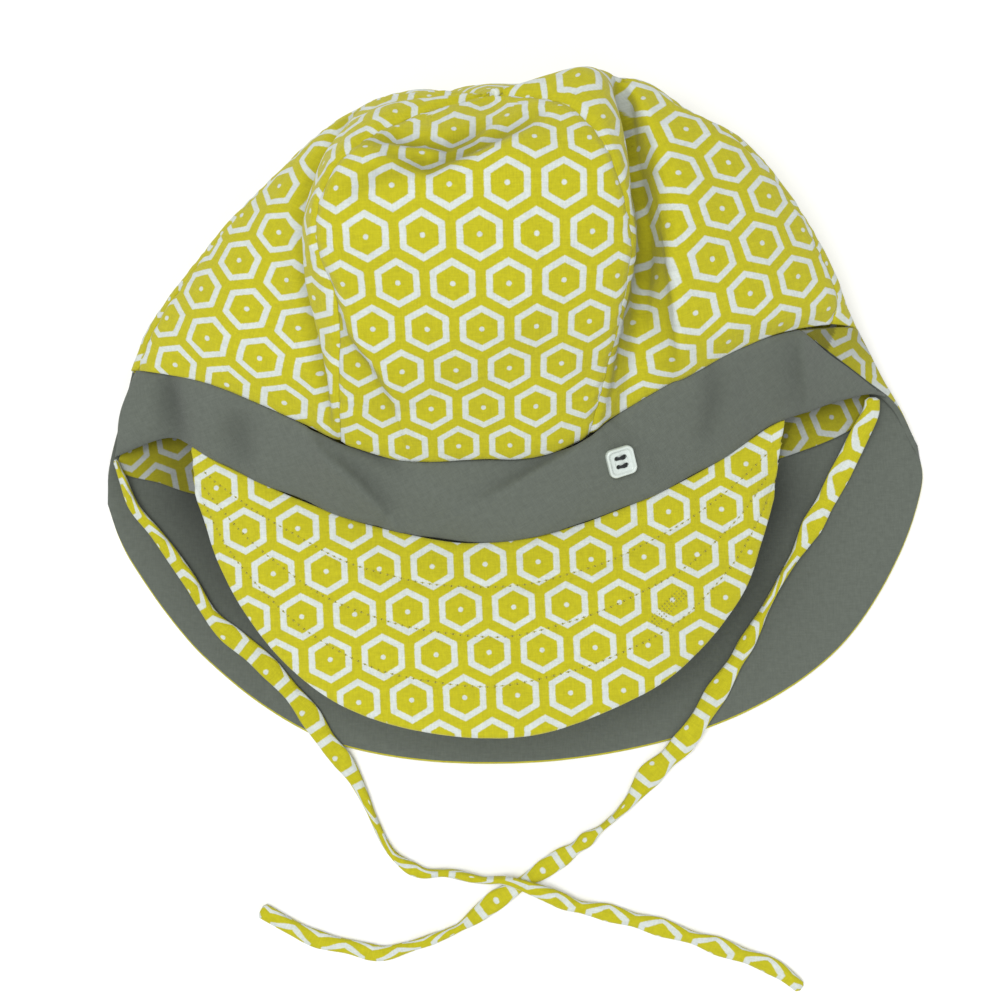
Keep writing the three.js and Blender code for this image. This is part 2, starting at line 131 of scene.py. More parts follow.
# The neck flap's lines: where each starts on the crown's loop, and its points to the hem
FLAP_LINES = [
    (16.42, [[109.3, 18.3, 13], [121, 10.4, 7.2], [129, -2.5, 3]]),
    (18, [[116.5, 19, 7.5], [123.5, 8, 4.5], [129.8, -5, 1.5]]),
    (18.5, [[114.5, 11, 2.5], [123, -6, 1.2], [130.5, -14, 0.2]]),
    (19, [[109, 4, 0], [116, -20, 0], [123, -38, 0]]),
    (19.6, [[86, -6, 0], [98, -49, 0], [102, -69, 0]]),
    (20.2, [[42, -17, 0], [56, -72, 0], [64, -92, 0]]),
    (21, [[-8, -22, 0], [-2, -81, 0], [3, -104, 0]]),
    (21.6, [[-60, -20, 0], [-60, -75, 0], [-60, -97, 0]]),
    (22.4, [[-102, -18, 0], [-107, -49, 0], [-100, -70, 0]]),
    (23, [[-115, -14, 0], [-119.5, -32, 0], [-121.7, -42.3, 0]]),
    (23.9, [[-123, -12, 1], [-126.5, -22.5, 0.4], [-127.4, -31.5, 0]]),
    (24.8, [[-129.5, -9, 3.2], [-130.2, -14.5, 1.5], [-129.8, -21, 0.3]]),
]

# The ties' middle lines, and what changes along them, as pairs of a run in millimetres and a
# value: the width, and how far the print is shifted across the tie and slid along it
TIES = {
    "tie_left": {
        "route": [
            [-127, -7.2, 8.2], [-125.3, -12.6, 6.2], [-122, -22, 4.6], [-115, -31, 3.3],
            [-105, -45, 3.2], [-96, -59, 3.2], [-82, -71, 3.2], [-69, -85, 3.2], [-60, -98, 3.3],
            [-56, -103, 2.6], [-52, -109, 1.2], [-49, -115, 0.9], [-41, -132, 0.9],
            [-36, -137, 0.9], [-30, -140, 0.9], [-22, -140, 1], [-11, -142, 1.9],
            [-3, -142, 3.1], [9, -146, 3.1], [18, -150, 1.9], [30, -153, 0.9],
            [48, -158, 0.9], [66, -164, 0.9], [84, -171, 0.9], [92, -177, 0.9],
        ],
        "width": [
            [0, 1.4], [6, 2.2], [16, 3.3], [33, 4.2], [58, 4.5], [67, 6.6], [76, 5.9], [85, 7.0],
            [95, 5.7], [104, 7.0], [113, 5.7], [122, 7.0], [131, 4.2], [141, 2.2], [157, 2.5],
            [164, 4.6], [171, 2.6], [175, 2.2], [181, 3.1], [188, 2.4], [196, 2.9], [215, 5.2],
            [221, 3.7], [230, 6.2], [239, 4.0], [248, 6.1], [259, 4.0], [267, 6.2], [277, 4.0],
            [286, 5.9], [297, 4.0],
        ],
        "shift": [[0, -3.5], [58, -3.5], [70, -1.2], [125, -1.2], [215, 26.6]],
        "slide": [[125, 4.7], [225, 1.3]],
    },
    "tie_right": {
        "route": [
            [112.7, 12.5, 9.6], [112.6, 8, 8], [109.6, 0.5, 5.4], [104.3, -11, 3.7],
            [93, -32, 3.2], [83, -49, 3.2], [74, -66, 3.2], [63, -84, 3.2], [56, -95, 3.3],
            [52, -100, 2.6], [47, -105, 1.2], [43, -109, 0.9], [35, -119, 0.9], [22, -130, 0.9],
            [9, -139, 0.9], [-5, -148, 0.9], [-19, -158, 0.9], [-35, -164, 0.9],
            [-43, -166, 0.9], [-53, -164, 0.9], [-65, -161, 0.9], [-82, -152, 0.9],
        ],
        "width": [
            [0, 4.6], [14, 6.2], [27, 7.3], [38, 5.6], [46, 6.8], [57, 3.3], [69, 2.0], [77, 2.5],
            [89, 5.8], [96, 4.8], [107, 7.0], [116, 6.0], [127, 8.2], [134, 5.6], [142, 7.8],
            [152, 3.9], [159, 2.4], [166, 1.9], [171, 5.2], [176, 3.2], [180, 6.0], [188, 6.4],
            [196, 4.2], [206, 6.4], [215, 4.9], [221, 2.5], [230, 3.6], [237, 3.0], [246, 4.4],
            [252, 5.6], [260, 4.6], [268, 5.6], [277, 4.4], [287, 5.2],
        ],
        "shift": [[55, 19.6], [88, 28.8], [150, 28.8], [180, 30.8], [215, 30.8], [235, 37]],
        "slide": [[0, -2.3], [55, -1.5], [100, 2.5], [125, 2.6], [185, 7.5]],
    },
}

# The bar of dense stitches that ends the visor's outer row, in plan
BACK_TACK = {"start": (40.7, -56.6), "end": (50, -47.9), "width": 3, "rows": 4}

# Where one hexagon of the print lies on each piece, as millimetres on the flat cloth from the
# middle of the piece's first row, and how far the print's rows are turned. Some cloth is pulled:
# its print is drawn in where wide or tall is over 1, and slanted by lean.
UNPULLED = {"wide": 1, "tall": 1, "lean": 0}
PRINTS = {
    "crown_front_panel": {
        "x": 11.7, "y": 6.1, "turn": 3.6, "wide": 1.027, "tall": 1.014,
    },
    "crown_front_left_panel": {
        "x": 15.8, "y": 4.9, "turn": 8.4, "wide": 0.826, "tall": 1.087, "lean": -0.037,
    },
    "crown_front_right_panel": {
        "x": 16.6, "y": 14.5, "turn": -15.4, "wide": 0.854, "tall": 1.065, "lean": 0.019,
    },
    "crown_back_left_panel": {"x": 4, "y": 9, "turn": 9},
    "crown_back_panel": {"x": 0, "y": 6, "turn": 0},
    "crown_back_right_panel": {"x": 2, "y": 3, "turn": -10},
    "visor": {"x": 10.2, "y": 7.9, "turn": 2.6, "wide": 0.99, "tall": 1.03},
    "neck_flap": {"x": 0, "y": 5, "turn": 0},
    "lining_end": {"x": 0, "y": 12, "turn": 4},
}

# Creases, in plan. A valley sinks on both sides of its line. A fold stands up on the left of its
# line and falls away softly behind. The print of a tucked crease is drawn in by the cloth that the
# crease hides: on the left of its line, or on the right where the tuck is under zero.
CREASES = {
    "crown_front_panel": [
        {"kind": "fold", "height": 3.8, "sharp": 1.3, "soft": 10, "tuck": -3,
         "line": [[-54, 44], [-50.7, 35.6], [-47.5, 28.2], [-43.5, 22.2], [-39.5, 16.8],
                  [-36.6, 11.3], [-35, 5]]},
        {"kind": "valley", "height": 2.8, "sharp": 2.3, "tuck": 6,
         "line": [[-38, 76], [-30, 72.5], [-24, 70], [-17, 73.5], [-10, 77], [-2, 81], [6, 86]]},
        {"kind": "valley", "height": 2.8, "sharp": 2.1, "tuck": 6,
         "line": [[-44, 78], [-36, 80], [-28, 78], [-20, 76.5], [-13, 80], [-8, 84]]},
        {"kind": "valley", "height": 1.2, "sharp": 3,
         "line": [[-48, 62], [-38, 68], [-24, 70]]},
    ],
    "crown_front_left_panel": [
        {"kind": "valley", "height": 4.6, "sharp": 1.7,
         "line": [[-46, 95], [-50.3, 91.6], [-54.7, 82.9], [-57.6, 79.4], [-59.9, 75], [-61.7, 70],
                  [-63.1, 65.3], [-63.6, 56], [-63.3, 45.2], [-61.9, 35.5], [-60.1, 25.9],
                  [-58.4, 15.9], [-56.6, 7.8], [-53.5, -3]]},
    ],
    "crown_front_right_panel": [
        {"kind": "valley", "height": 3.4, "sharp": 3.0,
         "line": [[36, 74], [35.2, 66.1], [35.8, 48.9], [34, 37.4], [31.7, 25.9], [28.9, 14.4],
                  [26, 5]]},
        {"kind": "valley", "height": 2.6, "sharp": 2,
         "line": [[30, 107], [31.2, 98], [32, 88], [33, 78], [35, 68]]},
        {"kind": "fold", "height": 2.4, "sharp": 2.0, "soft": 8,
         "line": [[42, 60], [43.5, 50], [44.7, 38], [46.4, 26], [48, 14]]},
    ],
    "front_band": [
        {"kind": "fold", "height": 3.2, "sharp": 1.8, "soft": 8,
         "line": [[-38, -25], [-41, -21], [-47, -14], [-54, -7], [-62, 1]]},
        {"kind": "valley", "height": 1.6, "sharp": 2.6,
         "line": [[-34, -12], [-42, -6], [-50, -1], [-58, 2]]},
        {"kind": "fold", "height": 3.0, "sharp": 2.0, "soft": 8,
         "line": [[26, 3], [15, -5], [5, -11], [-13, -21]]},
        {"kind": "valley", "height": 2.4, "sharp": 4.5,
         "line": [[-109.5, 20], [-108.5, 14], [-107.4, 7], [-106.5, -3]]},
        {"kind": "fold", "height": 1.8, "sharp": 3.5, "soft": 9,
         "line": [[84, 32], [86.5, 22], [90, 8]]},
        {"kind": "valley", "height": 1.4, "sharp": 4,
         "line": [[58, 22], [60, 10], [58, -4]]},
        {"kind": "valley", "height": 1.5, "sharp": 5,
         "line": [[-84, 8], [-86, -1], [-84, -10]]},
    ],
}

# Gaps between neighbouring pieces of cloth. A crown panel stops half a seam before its line, but
# no more than a share of a place on the loop, where a short step shows how wide a place is.
SEAM_GAP = 0.25
LAYER_GAP = 0.6
HALF_SEAM = 0.14
HALF_SEAM_LIMIT = 0.4
LOOP_STEP = 0.05
VISOR_GAP = 0.05
FLAP_SKIN_GAP = 0.1

# Lines of the crown's loop that stand between two of its measured lines, as shares of the way
BACK_SEAM_SHARE = 0.55
UNDER_SHARE = 0.12
FLANK_SHARE = 0.45
FLANK_RISE = 0.08
FRONT_SHARE = 0.5
FRONT_HEIGHT_SHARE = 0.88
LOWER_EDGE_SWAY = 3

# How high the band and the visor arch between their edges
BAND_ARCH = 1.5
VISOR_ARCH = 3

# Where the flap and the lining's end begin below the crown, and where the lining's end stops on
# the flap's lines, counted along them and across them
FLAP_START = 0.025
FLAP_HEM = 3
LINING_HEM = 1
LINING_SPAN = (1.9, 10.75)

# How many columns and rows of points each piece of cloth has
GRIDS = {
    "front_band": (300, 34), "visor": (210, 66), "neck_flap": (340, 96), "lining_end": (240, 34),
}

# Unevenness of each cloth: each wave's length and height, and the seed of its random draws
WAVES = {
    "crown": [(26, 0.28, 0), (9, 0.06, 50)],
    "front_band": [(34, 0.6, 3), (15, 0.2, 4)],
    "visor": [(30, 0.3, 5), (8, 0.05, 6)],
    "neck_flap": [(38, 0.35, 7), (12, 0.06, 8)],
}
WAVES_ADDED = 14
WAVE_RANGE = (0.6, 1.8)
DEEPEST_DIP = 0.4
CALM_EDGE = 20

# Grooves along stitched edges, how deep and how wide each is, and the puckers beside the stitches
GROOVES = {
    "crown seam": (0.75, 1.5),
    "crown lower edge": (0.4, 2.0),
    "band edge": (0.45, 1.4),
    "visor seam": (0.4, 1.2),
    "visor edge": (0.35, 1.2),
}
PUCKER = 0.22
PUCKER_REACH = 5
PUCKER_WAVE = 7
PUCKER_SWAY = 0.4
PUCKER_SWAY_WAVE = 25.9
QUILT_GROOVE_WIDTH = 1.3
QUILT_PUCKER = 0.35
QUILT_PUCKER_WAVE = 4.4
QUILT_WANDER = [(0.02, 19, 2), (0.012, 47, 1)]

# How a crease ends, how a fold dips behind its crest, and how far a tuck is felt
CREASE_ENDS = (0.02, 0.98)
SEAM_FADE = 6
CREST_WIDTH = 0.5
BEHIND_HEIGHT = 0.5
BEHIND_SHARE = 0.5
BEHIND_DIP = 0.9
BEHIND_REACH = 0.6
BEHIND_END = 3
TUCK_REACH = 45

# Painted shade: how much darker the colour is painted in creases, and on the flap and lining under the
# crown and visor
DEEP = 2.7
HOLLOW_SHADE = 0.42
SHADE_REACH = 34
FLAP_SHADE = 0.9
LINING_SHADE = 1.95
VISOR_SHADE = 2.0
VISOR_SHADE_REACH = 17
VISOR_EDGE_POINTS = 40
UNSHADED_HEIGHT = 46
DEEPEST_SHADE = 1.6

# A cloth's edge: where its layers lie between the two sides, and how far they stand out
EDGE_LAYERS = (0.2, 0.5, 0.8)
EDGE_BULGE = 0.22
TURNED_UP_STEPS = 6

# A tie's tube: its width flat and fully rolled, its thickness flat and what rolling adds, the
# thickness that its line is drawn for, how its ends close, how square and crumpled it is, and how
# far its cloth reaches round it
TIE_SIDES = 28
TIE_STEP = 0.8
TIE_SMOOTHING = 9
TIE_WIDTH = 7.5
TIE_ROLLED_WIDTH = 3
TIE_THICK = 1.5
TIE_ROLLED_MORE = 1.2
TIE_LINE_THICK = 1.6
TIE_END = 0.9
TIE_CLOSING = 0.55
TIE_SQUARENESS = 0.72
TIE_CRUMPLE = 0.12
TIE_CRUMPLED_MORE = 1.2
TIE_CRUMPLE_WAVE = 1.9
TIE_CRUMPLE_SWAY = 7
TIE_SWAY = 0.06
TIE_SWAY_WAVE = 5.3
TIE_HALF_CLOTH = 9.5
TIE_CLOTH_MORE = 5

# The button: its place along and across the band, its corners, its outline from the back to the
# middle as how far in from the side and how high, its holes, and the thread through them
BUTTON_PLACE = (0.679, 0.425)
BUTTON_TURN = 0.26
BUTTON_SEAT = 0.4
BUTTON_CORNER = 2.0
BUTTON_CORNER_EASE = 0.7
BUTTON_SHARPEST = 0.3
BUTTON_BEVEL = 0.08
BUTTON_PROFILE = [
    (0.9, 0.0), (0.25, 0.12), (0.0, 0.5), (0.0, 1.5), (0.12, 1.9), (0.4, 2.1), (0.75, 2.05),
    (1.0, 1.75), (1.25, 1.5), (1.7, 1.4), (2.4, 1.4),
]
HOLE = {"radius1": 0.6, "radius2": 0.72, "depth": 4, "segments": 20}
HOLE_SPACING = 2.6
STRANDS = 4
STRAND_GAP = 0.27
STRAND_RADIUS = 0.17
STRAND_SIDES = 8
STRAND_STEPS = 10
STRAND_SPAN = 2.75
STRAND_FOOT = 1.25
STRAND_RISE = 0.65
STRAND_UNEVENNESS = 0.05
STRAND_SWAY = 0.12

# Stitches: how far they stand on the cloth, how wide and how deep the needle's holes are, and how
# many columns of the visor have none at each side
STITCH_LIFT = 0.05
QUILT_HOLE = 0.56
BACK_TACK_HOLE = 0.45
UNSTITCHED_COLUMNS = 6
HOLE_DEPTH = 0.4

# The hexagon print: its usual pitch in metres, and sizes as shares of the pitch, measured from a
# hexagon's middle
HEXAGON = {"Pitch": 0.0157, "Outer": 0.4035, "Inner": 0.287, "Dot": 0.047, "Blur": 0.012}
INK_WOBBLE = 0.02
HEXAGON_ROUNDING = 0.03

# Finishes: how the threads' thick places stretch and vary in tone, how deep the weave is, the
# scale and the detail of each noise, and how a grain changes tone and roughness
INK_NOISE = (26, 3)
SLUB_NOISE = (0.9, 2)
MOTTLE_NOISE = (0.25, 4)
SLUB_STRETCH = 0.14
SLUB_HEIGHT = 0.8
LOW_TONE = 0.3
HIGH_TONE = 0.7
DARKEST_THREAD = 0.86
LIGHTEST_THREAD = 1.1
WEAVE_DEPTH = 0.00012
WEAVE_BUMP = 0.5
GRAIN_BUMP = 0.4
GRAIN_DETAIL = 3
GRAIN_TONE = 0.82
GRAIN_SPREAD = 0.15
GRAIN_OFFSET = 0.07
COTTON_FINISH = {
    "Roughness": 0.88, "Sheen Weight": 0.12, "Sheen Roughness": 0.5, "Specular IOR Level": 0.25,
}
# Depths in metres of the grain of plastic and thread
GRAINS = {
    "button plastic": {"roughness": 0.3, "grain": 900, "depth": 0.00002, "coat": 0.3},
    "button thread": {"roughness": 0.8, "grain": 4000, "depth": 0.0001, "coat": 0},
    "quilting thread": {"roughness": 0.75, "grain": 3000, "depth": 0.00005, "coat": 0},
    "needle holes": {"roughness": 0.9, "grain": 3000, "depth": 0.00005, "coat": 0},
}
PAPER_FINISH = {
    "Roughness": 0.9, "Specular IOR Level": 0.1, "Base Color": (0.93, 0.93, 0.93, 1),
}

# Camera, lamps and floor. The lamps' places and sizes are in metres, and their power in watts.
CAMERA = (-5, -20, 475)
LENS = 52.97
SENSOR = 36
CLIP = (0.01, 20)
PRINT_LEVEL = 35
LAMPS = {
    "lamp_above": {"place": (-0.4, 0.16, 2.1), "size": 1.45, "power": 38.1},
    "lamp_front": {"place": (0.35, -1.0, 0.9), "size": 1.0, "power": 3.8},
}
SKY = 0.41
FLOOR_HALF = 3
FLOOR_DROP = 0.0002

# How finely curves are read, how often the flap's normals are smoothed, and limits that keep
# the flattening of a cloth safe
FINE = 500
SMOOTHINGS = 24
SHORTEST_STEP = 1e-3
WEIGHT_LIMITS = (0.05, 20)


def linear(red, green, blue):
    """A colour as the shaders take it, from the 0 to 255 that it has on a screen."""
    def one(level):
        share = level / 255
        return share / 12.92 if share <= 0.04045 else ((share + 0.055) / 1.055) ** 2.4
    return one(red), one(green), one(blue)


# The needle holes are dark spots: painted shade for the dimples where the thread goes into the cloth
NEEDLE_HOLE_SHADE = linear(44, 42, 26)


def colour_property(name, description, default):
    """A colour that a user may change."""
    return FloatVectorProperty(
        name=name, description=description, subtype="COLOR", size=3, min=0, max=1, default=default
    )


def length_property(name, description, millimetres):
    """A length that a user may change."""
    return FloatProperty(
        name=name, description=description, default=millimetres * MM, min=0,
        subtype="DISTANCE", unit="LENGTH", precision=5,
    )


class HatSizes(bpy.types.PropertyGroup):
    """Sizes of the hat that a user would change."""

    crown_cloth: length_property("Crown cloth", "Thickness of a crown panel", 1.2)
    band_cloth: length_property("Band cloth", "Thickness of the band", 2.0)
    visor_cloth: length_property("Visor cloth", "Thickness of the quilted visor", 2.6)
    flap_cloth: length_property("Flap cloth", "Thickness of the neck flap", 2.0)
    lining_cloth: length_property("Lining cloth", "Thickness of the lining's end", 1.0)
    print_pitch: length_property("Print pitch", "Distance between hexagons", 15.7)
    tie_pitch: length_property("Print pitch on the ties", "Distance between hexagons", 17.8)
    thread_pitch: length_property("Weave", "Distance between threads of the cloth", 0.42)
    stitch_pitch: length_property("Stitch pitch", "Distance from stitch to stitch", 2.2)
    stitch_length: length_property("Stitch length", "Length of the thread on top", 1.6)
    stitch_width: length_property("Stitch width", "Thickness of the thread", 0.28)
    button_side: length_property("Button side", "Side of the square button", 8.8)
    quilt_rows: IntProperty(name="Quilt rows", description="Stitched rows", default=3, min=0)
    quilt_depth: length_property("Quilt depth", "How far a stitched row sinks", 0.35)


class HatColours(bpy.types.PropertyGroup):
    """Colours of the hat."""

    ink: colour_property("Print", "Yellow of the print", linear(187, 181, 27))
    white: colour_property("Ground", "White of the print", linear(207, 214, 208))
    grey: colour_property("Plain cloth", "Grey of the band and flap", linear(98, 104, 96))
    plastic: colour_property("Button", "Plastic of the button", linear(214, 224, 218))
    dark: colour_property("Button thread", "Thread in the button", linear(40, 44, 46))
    thread: colour_property("Quilting thread", "Thread of the stitches", linear(188, 180, 70))


# Smooth curves and surfaces, with every point an array's last axis


def unit(vector):
    """The vectors at length one."""
    return vector / np.maximum(np.linalg.norm(vector, axis=-1, keepdims=True), 1e-9)


def between(before, start, end, after, share):
    """The point at a share of the way from start to end on the curve through four points."""
    def knot(a, b):
        return np.maximum(np.sqrt(np.linalg.norm(b - a, axis=-1)), SHORTEST_STEP)

    def blend(a, b, low, high):
        return a + (b - a) * ((t - low) / (high - low))[..., None]

    t0 = -knot(before, start)
    t2 = knot(start, end)
    t3 = t2 + knot(end, after)
    t = share * t2
    a = blend(before, start, t0, 0)
    b = blend(start, end, 0, t2)
    c = blend(end, after, t2, t3)
    return blend(blend(a, b, t0, t2), blend(b, c, 0, t3), 0, t2)


def along(points, at, closed=False):
    """Points at the places at on the smooth curve through points, counted by their index."""
    count = points.shape[-2]
    if closed:
        first = np.floor(at).astype(int)
        order = [(first + k) % count for k in (-1, 0, 1, 2)]
    else:
        lead = 2 * points[..., :1, :] - points[..., 1:2, :]
        tail = 2 * points[..., -1:, :] - points[..., -2:-1, :]
        points = np.concatenate([lead, points, tail], axis=-2)
        first = np.clip(np.floor(at).astype(int), 0, count - 2)
        order = [first + k for k in (0, 1, 2, 3)]
    four = [np.take_along_axis(points, index[..., None], axis=-2) for index in order]
    return between(*four, at - first)


def on_table(points):
    """The points, with none below the plane that the hat lies on."""
    points[..., 2] = np.maximum(points[..., 2], 0)
    return points


def part_way(a, b, share, height_share):
    """A point a share of the way from a to b in plan, and another share of the way up."""
    point = a + (b - a) * share
    point[..., 2] = a[..., 2] + (b[..., 2] - a[..., 2]) * height_share
    return point


def crown_loops(rows):
    """The loop round the crown at each row, as an array of rows, points and xyz."""
    at = {}
    for name, points in MERIDIANS.items():
        at[name] = along(np.array([*points, CROWN_TOP], float), rows)
    for side in ("left", "right"):
        outer, back = at[f"{side} side"], at["back middle"]
        at[f"back {side} seam"] = part_way(back, outer, BACK_SEAM_SHARE, 0)
        at[f"{side} under"] = part_way(outer, back, UNDER_SHARE, 1)
        edge, inner = at[f"{side} edge"], at["left valley" if side == "left" else "right crest"]
        flank = edge + (inner - edge) * FLANK_SHARE
        flank[:, 2] += FLANK_RISE * np.linalg.norm(inner - edge, axis=-1)
        front = part_way(at[f"{side} seam"], at["front middle"], FRONT_SHARE, FRONT_HEIGHT_SHARE)
        lowest = np.maximum(0, 1 - rows)
        flank[:, 1] += LOWER_EDGE_SWAY * lowest
        front[:, 1] -= LOWER_EDGE_SWAY * lowest
        at[f"{side} flank"], at[f"front {side}"] = flank, front
    return np.stack([at[name] for name in LOOP], axis=1)


def on_crown(u, v):
    """Points of the crown's outside at places u of the loop, a row of them for each v."""
    return on_table(along(crown_loops(v), u, closed=True))


def run_along(points, axis):
    """How far each point lies along its row or column."""
    step = np.linalg.norm(np.diff(points, axis=axis), axis=-1)
    start = np.zeros_like(np.take(step, [0], axis=axis))
    return np.cumsum(np.concatenate([start, step], axis=axis), axis=axis)


def even_grid(at, first, last, low, high, columns, rows):
    """A grid on at(u, v) with even rows and columns. first and last give the ends of a row."""
    v = np.linspace(low, high, FINE)
    middle = run_along(at((first(v) + last(v))[:, None] / 2, v), 0)[:, 0]
    v = np.interp(np.linspace(0, middle[-1], rows), middle, v)
    share = np.linspace(0, 1, FINE)
    u = first(v)[:, None] + (last(v) - first(v))[:, None] * share
    run = run_along(at(u, v), 1)
    even = [np.interp(np.linspace(0, r[-1], columns), r, row) for r, row in zip(run, u)]
    return at(np.array(even), v)


def constant(value):
    """The same value at every place."""
    return lambda v: np.full_like(v, value)


def facing(grid):
    """The grid's unit normals: its rows' direction crossed with its columns'."""
    return unit(np.cross(np.gradient(grid, axis=1), np.gradient(grid, axis=0)))


def even_line(points):
    """A run of points read by a share of its length."""
    run = run_along(points, 0)
    return lambda share: np.stack(
        [np.interp(share * run[-1], run, points[:, k]) for k in range(3)], axis=-1
    )


def smooth_line(points):
    """A smooth curve through points, read by a share of its length."""
    points = np.array(points, float)
    return even_line(along(points, np.linspace(0, len(points) - 1, FINE)))


band_upper_edge = even_line(on_crown(np.linspace(*BAND_ENDS, FINE)[None, :], np.zeros(1))[0])
band_lower_edge = smooth_line(BAND_LOWER_EDGE)
visor_outer_edge = smooth_line(VISOR_OUTER_EDGE)


def on_band(u, v):
    """Points of the band: u runs along it, and v from its upper edge to its lower edge."""
    upper, lower = band_upper_edge(u), band_lower_edge(u)
    v = v[:, None, None]
    start = upper + unit(lower - upper) * SEAM_GAP
    point = start + (lower - start) * v
    point[..., 2:] += BAND_ARCH * np.sin(np.pi * v)
    return point


def on_visor(u, v):
    """Points of the visor: u runs along it, and v from the band to its outer edge."""
    root = band_lower_edge(VISOR_SPAN[0] + (VISOR_SPAN[1] - VISOR_SPAN[0]) * u)
    edge = visor_outer_edge(u)
    v = v[:, None, None]
    start = root + unit(edge - root) * VISOR_GAP
    point = start + (edge - start) * v
    point[..., 2:] += VISOR_ARCH * np.sin(np.pi * v) * np.sin(np.pi * u)[..., None]
    return point


flap_starts = on_crown(np.array([[start for start, _ in FLAP_LINES]], float), np.zeros(1))[0]
flap_lines = np.concatenate(
    [flap_starts[:, None], np.array([points for _, points in FLAP_LINES], float)], axis=1
)


def on_flap(u, v):
    """Points of the flap: u counts its lines, and v the points along them from the crown."""
    lines = along(flap_lines, np.broadcast_to(v, (len(flap_lines), len(v))))
    return on_table(along(np.swapaxes(lines, 0, 1), u))


def pressed_flat(grid, high=20, wide=30, rounds=60):
    """Where each point of a grid of cloth lies when the cloth is pressed flat, hardly stretched."""
    rows = np.linspace(0, len(grid) - 1, high).round().astype(int)
    columns = np.linspace(0, grid.shape[1] - 1, wide).round().astype(int)
    coarse = grid[rows][:, columns]
    height, width = coarse.shape[:2]

    # Start from the cloth's own lengths, as complex numbers in the plane
    run = run_along(coarse, 1)
    middle = run_along(coarse, 0)[:, width // 2]
    place = (run - run[:, width // 2:width // 2 + 1] + 1j * middle[:, None]).ravel()
    index = np.arange(height * width).reshape(height, width)
    a, b, c, d = index[:-1, :-1], index[:-1, 1:], index[1:, 1:], index[1:, :-1]
    corners = [np.stack([a, b, c], -1).reshape(-1, 3), np.stack([a, c, d], -1).reshape(-1, 3)]
    faces = np.concatenate(corners)

    # Each triangle's own flat shape, and how firmly each of its sides holds its length
    points = coarse.reshape(-1, 3)[faces]
    ab, ac = points[:, 1] - points[:, 0], points[:, 2] - points[:, 0]
    base = np.maximum(np.linalg.norm(ab, axis=1), 1e-6)
    along_base = (ab * ac).sum(1) / base
    rise = np.sqrt(np.maximum((ac * ac).sum(1) - along_base ** 2, 1e-8))
    shape = np.stack([np.zeros_like(base) + 0j, base + 0j, along_base + 1j * rise], 1)
    after = [1, 2, 0]
    side = shape[:, after] - shape
    opposite = shape[:, [2, 0, 1]]
    product = (shape - opposite) * (shape[:, after] - opposite).conj()
    weight = np.clip(product.real / np.maximum(abs(product.imag), 1e-6), *WEIGHT_LIMITS)

    # Turn each triangle's shape to suit its neighbours, then place the points between them
    count = len(place)
    matrix = np.zeros((count, count))
    for k in range(3):
        start, end = faces[:, k], faces[:, after[k]]
        for p, q, sign in ((start, start, 1), (end, end, 1), (start, end, -1), (end, start, -1)):
            np.add.at(matrix, (p, q), sign * weight[:, k])
    matrix[0, 0] += 1
    inverse = np.linalg.inv(matrix)
    for _ in range(rounds):
        now = place[faces]
        turn = (weight * (now[:, after] - now) * side.conj()).sum(1)
        turn /= np.maximum(abs(turn), 1e-12)
        pull = weight * turn[:, None] * side
        wanted = np.zeros(count, complex)
        for k in range(3):
            np.add.at(wanted, faces[:, after[k]], pull[:, k])
            np.add.at(wanted, faces[:, k], -pull[:, k])
        place = inverse @ wanted

    # Set the first row's middle at zero with the middle column upwards, and fill in the grid
    place = place.reshape(height, width)
    place = place - place[0, width // 2]
    place = place * abs(place[-1, width // 2]) / place[-1, width // 2] * 1j
    every_column, every_row = np.arange(grid.shape[1]), np.arange(len(grid))
    filled = np.array([np.interp(every_column, columns, row) for row in place])
    full = np.array([np.interp(every_row, rows, column) for column in filled.T]).T
    return np.stack([full.real, full.imag], axis=-1)


# Relief: how far the cloth stands from its plain surface, in millimetres


def bell(distance, height, width):
    """A smooth bump of that height and width."""
    return height * np.exp(-((distance / width) ** 2))


def step_up(distance, width):
    """From 0 to 1 as the distance passes zero, over about that width."""
    return 1 / (1 + np.exp(-distance / width))


def unevenness(cloth, flat, seed=0):
    """A cloth's gentle unevenness: the sum of its waves, each run in many directions."""
    total = 0
    for wave, amount, more in WAVES[cloth]:
        rng = np.random.default_rng(seed + more)
        relief = np.zeros(flat.shape[:2])
        for _ in range(WAVES_ADDED):
            angle, length = rng.uniform(0, 2 * math.pi), wave * rng.uniform(*WAVE_RANGE)
            phase = (flat[..., 0] * math.cos(angle) + flat[..., 1] * math.sin(angle)) / length
            relief += np.sin(2 * math.pi * phase + rng.uniform(0, 2 * math.pi)) * length / wave
        total = total + amount * relief / math.sqrt(WAVES_ADDED)
    return total


def seam_relief(distance, along_seam, seed):
    """A seam's groove, and the small puckers that its stitches pull into the cloth."""
    sway = PUCKER_SWAY * np.sin(2 * math.pi * along_seam / PUCKER_SWAY_WAVE + seed)
    ripple = np.sin(2 * math.pi * (along_seam / PUCKER_WAVE + sway))
    puckers = PUCKER * np.exp(-distance / PUCKER_REACH) * ripple
    return puckers - bell(distance, *GROOVES["crown seam"])


def beside(grid, line):
    """How far points lie from a line in plan, on its left (1) or right (-1), and how far along."""
    line = np.array(line, float)
    plan = grid[..., :2]
    nearest = np.full(plan.shape[:2], 1e9)
    side = np.zeros_like(nearest)
    share = np.zeros_like(nearest)
    for k, (start, end) in enumerate(zip(line[:-1], line[1:])):
        way = end - start
        t = np.clip(((plan - start) @ way) / (way @ way), 0, 1)
        gap = plan - (start + t[..., None] * way)
        distance = np.linalg.norm(gap, axis=-1)
        closer = distance < nearest
        nearest = np.where(closer, distance, nearest)
        side = np.where(closer, np.sign(way[0] * gap[..., 1] - way[1] * gap[..., 0]), side)
        share = np.where(closer, (k + t) / (len(line) - 1), share)
    return nearest, side, share


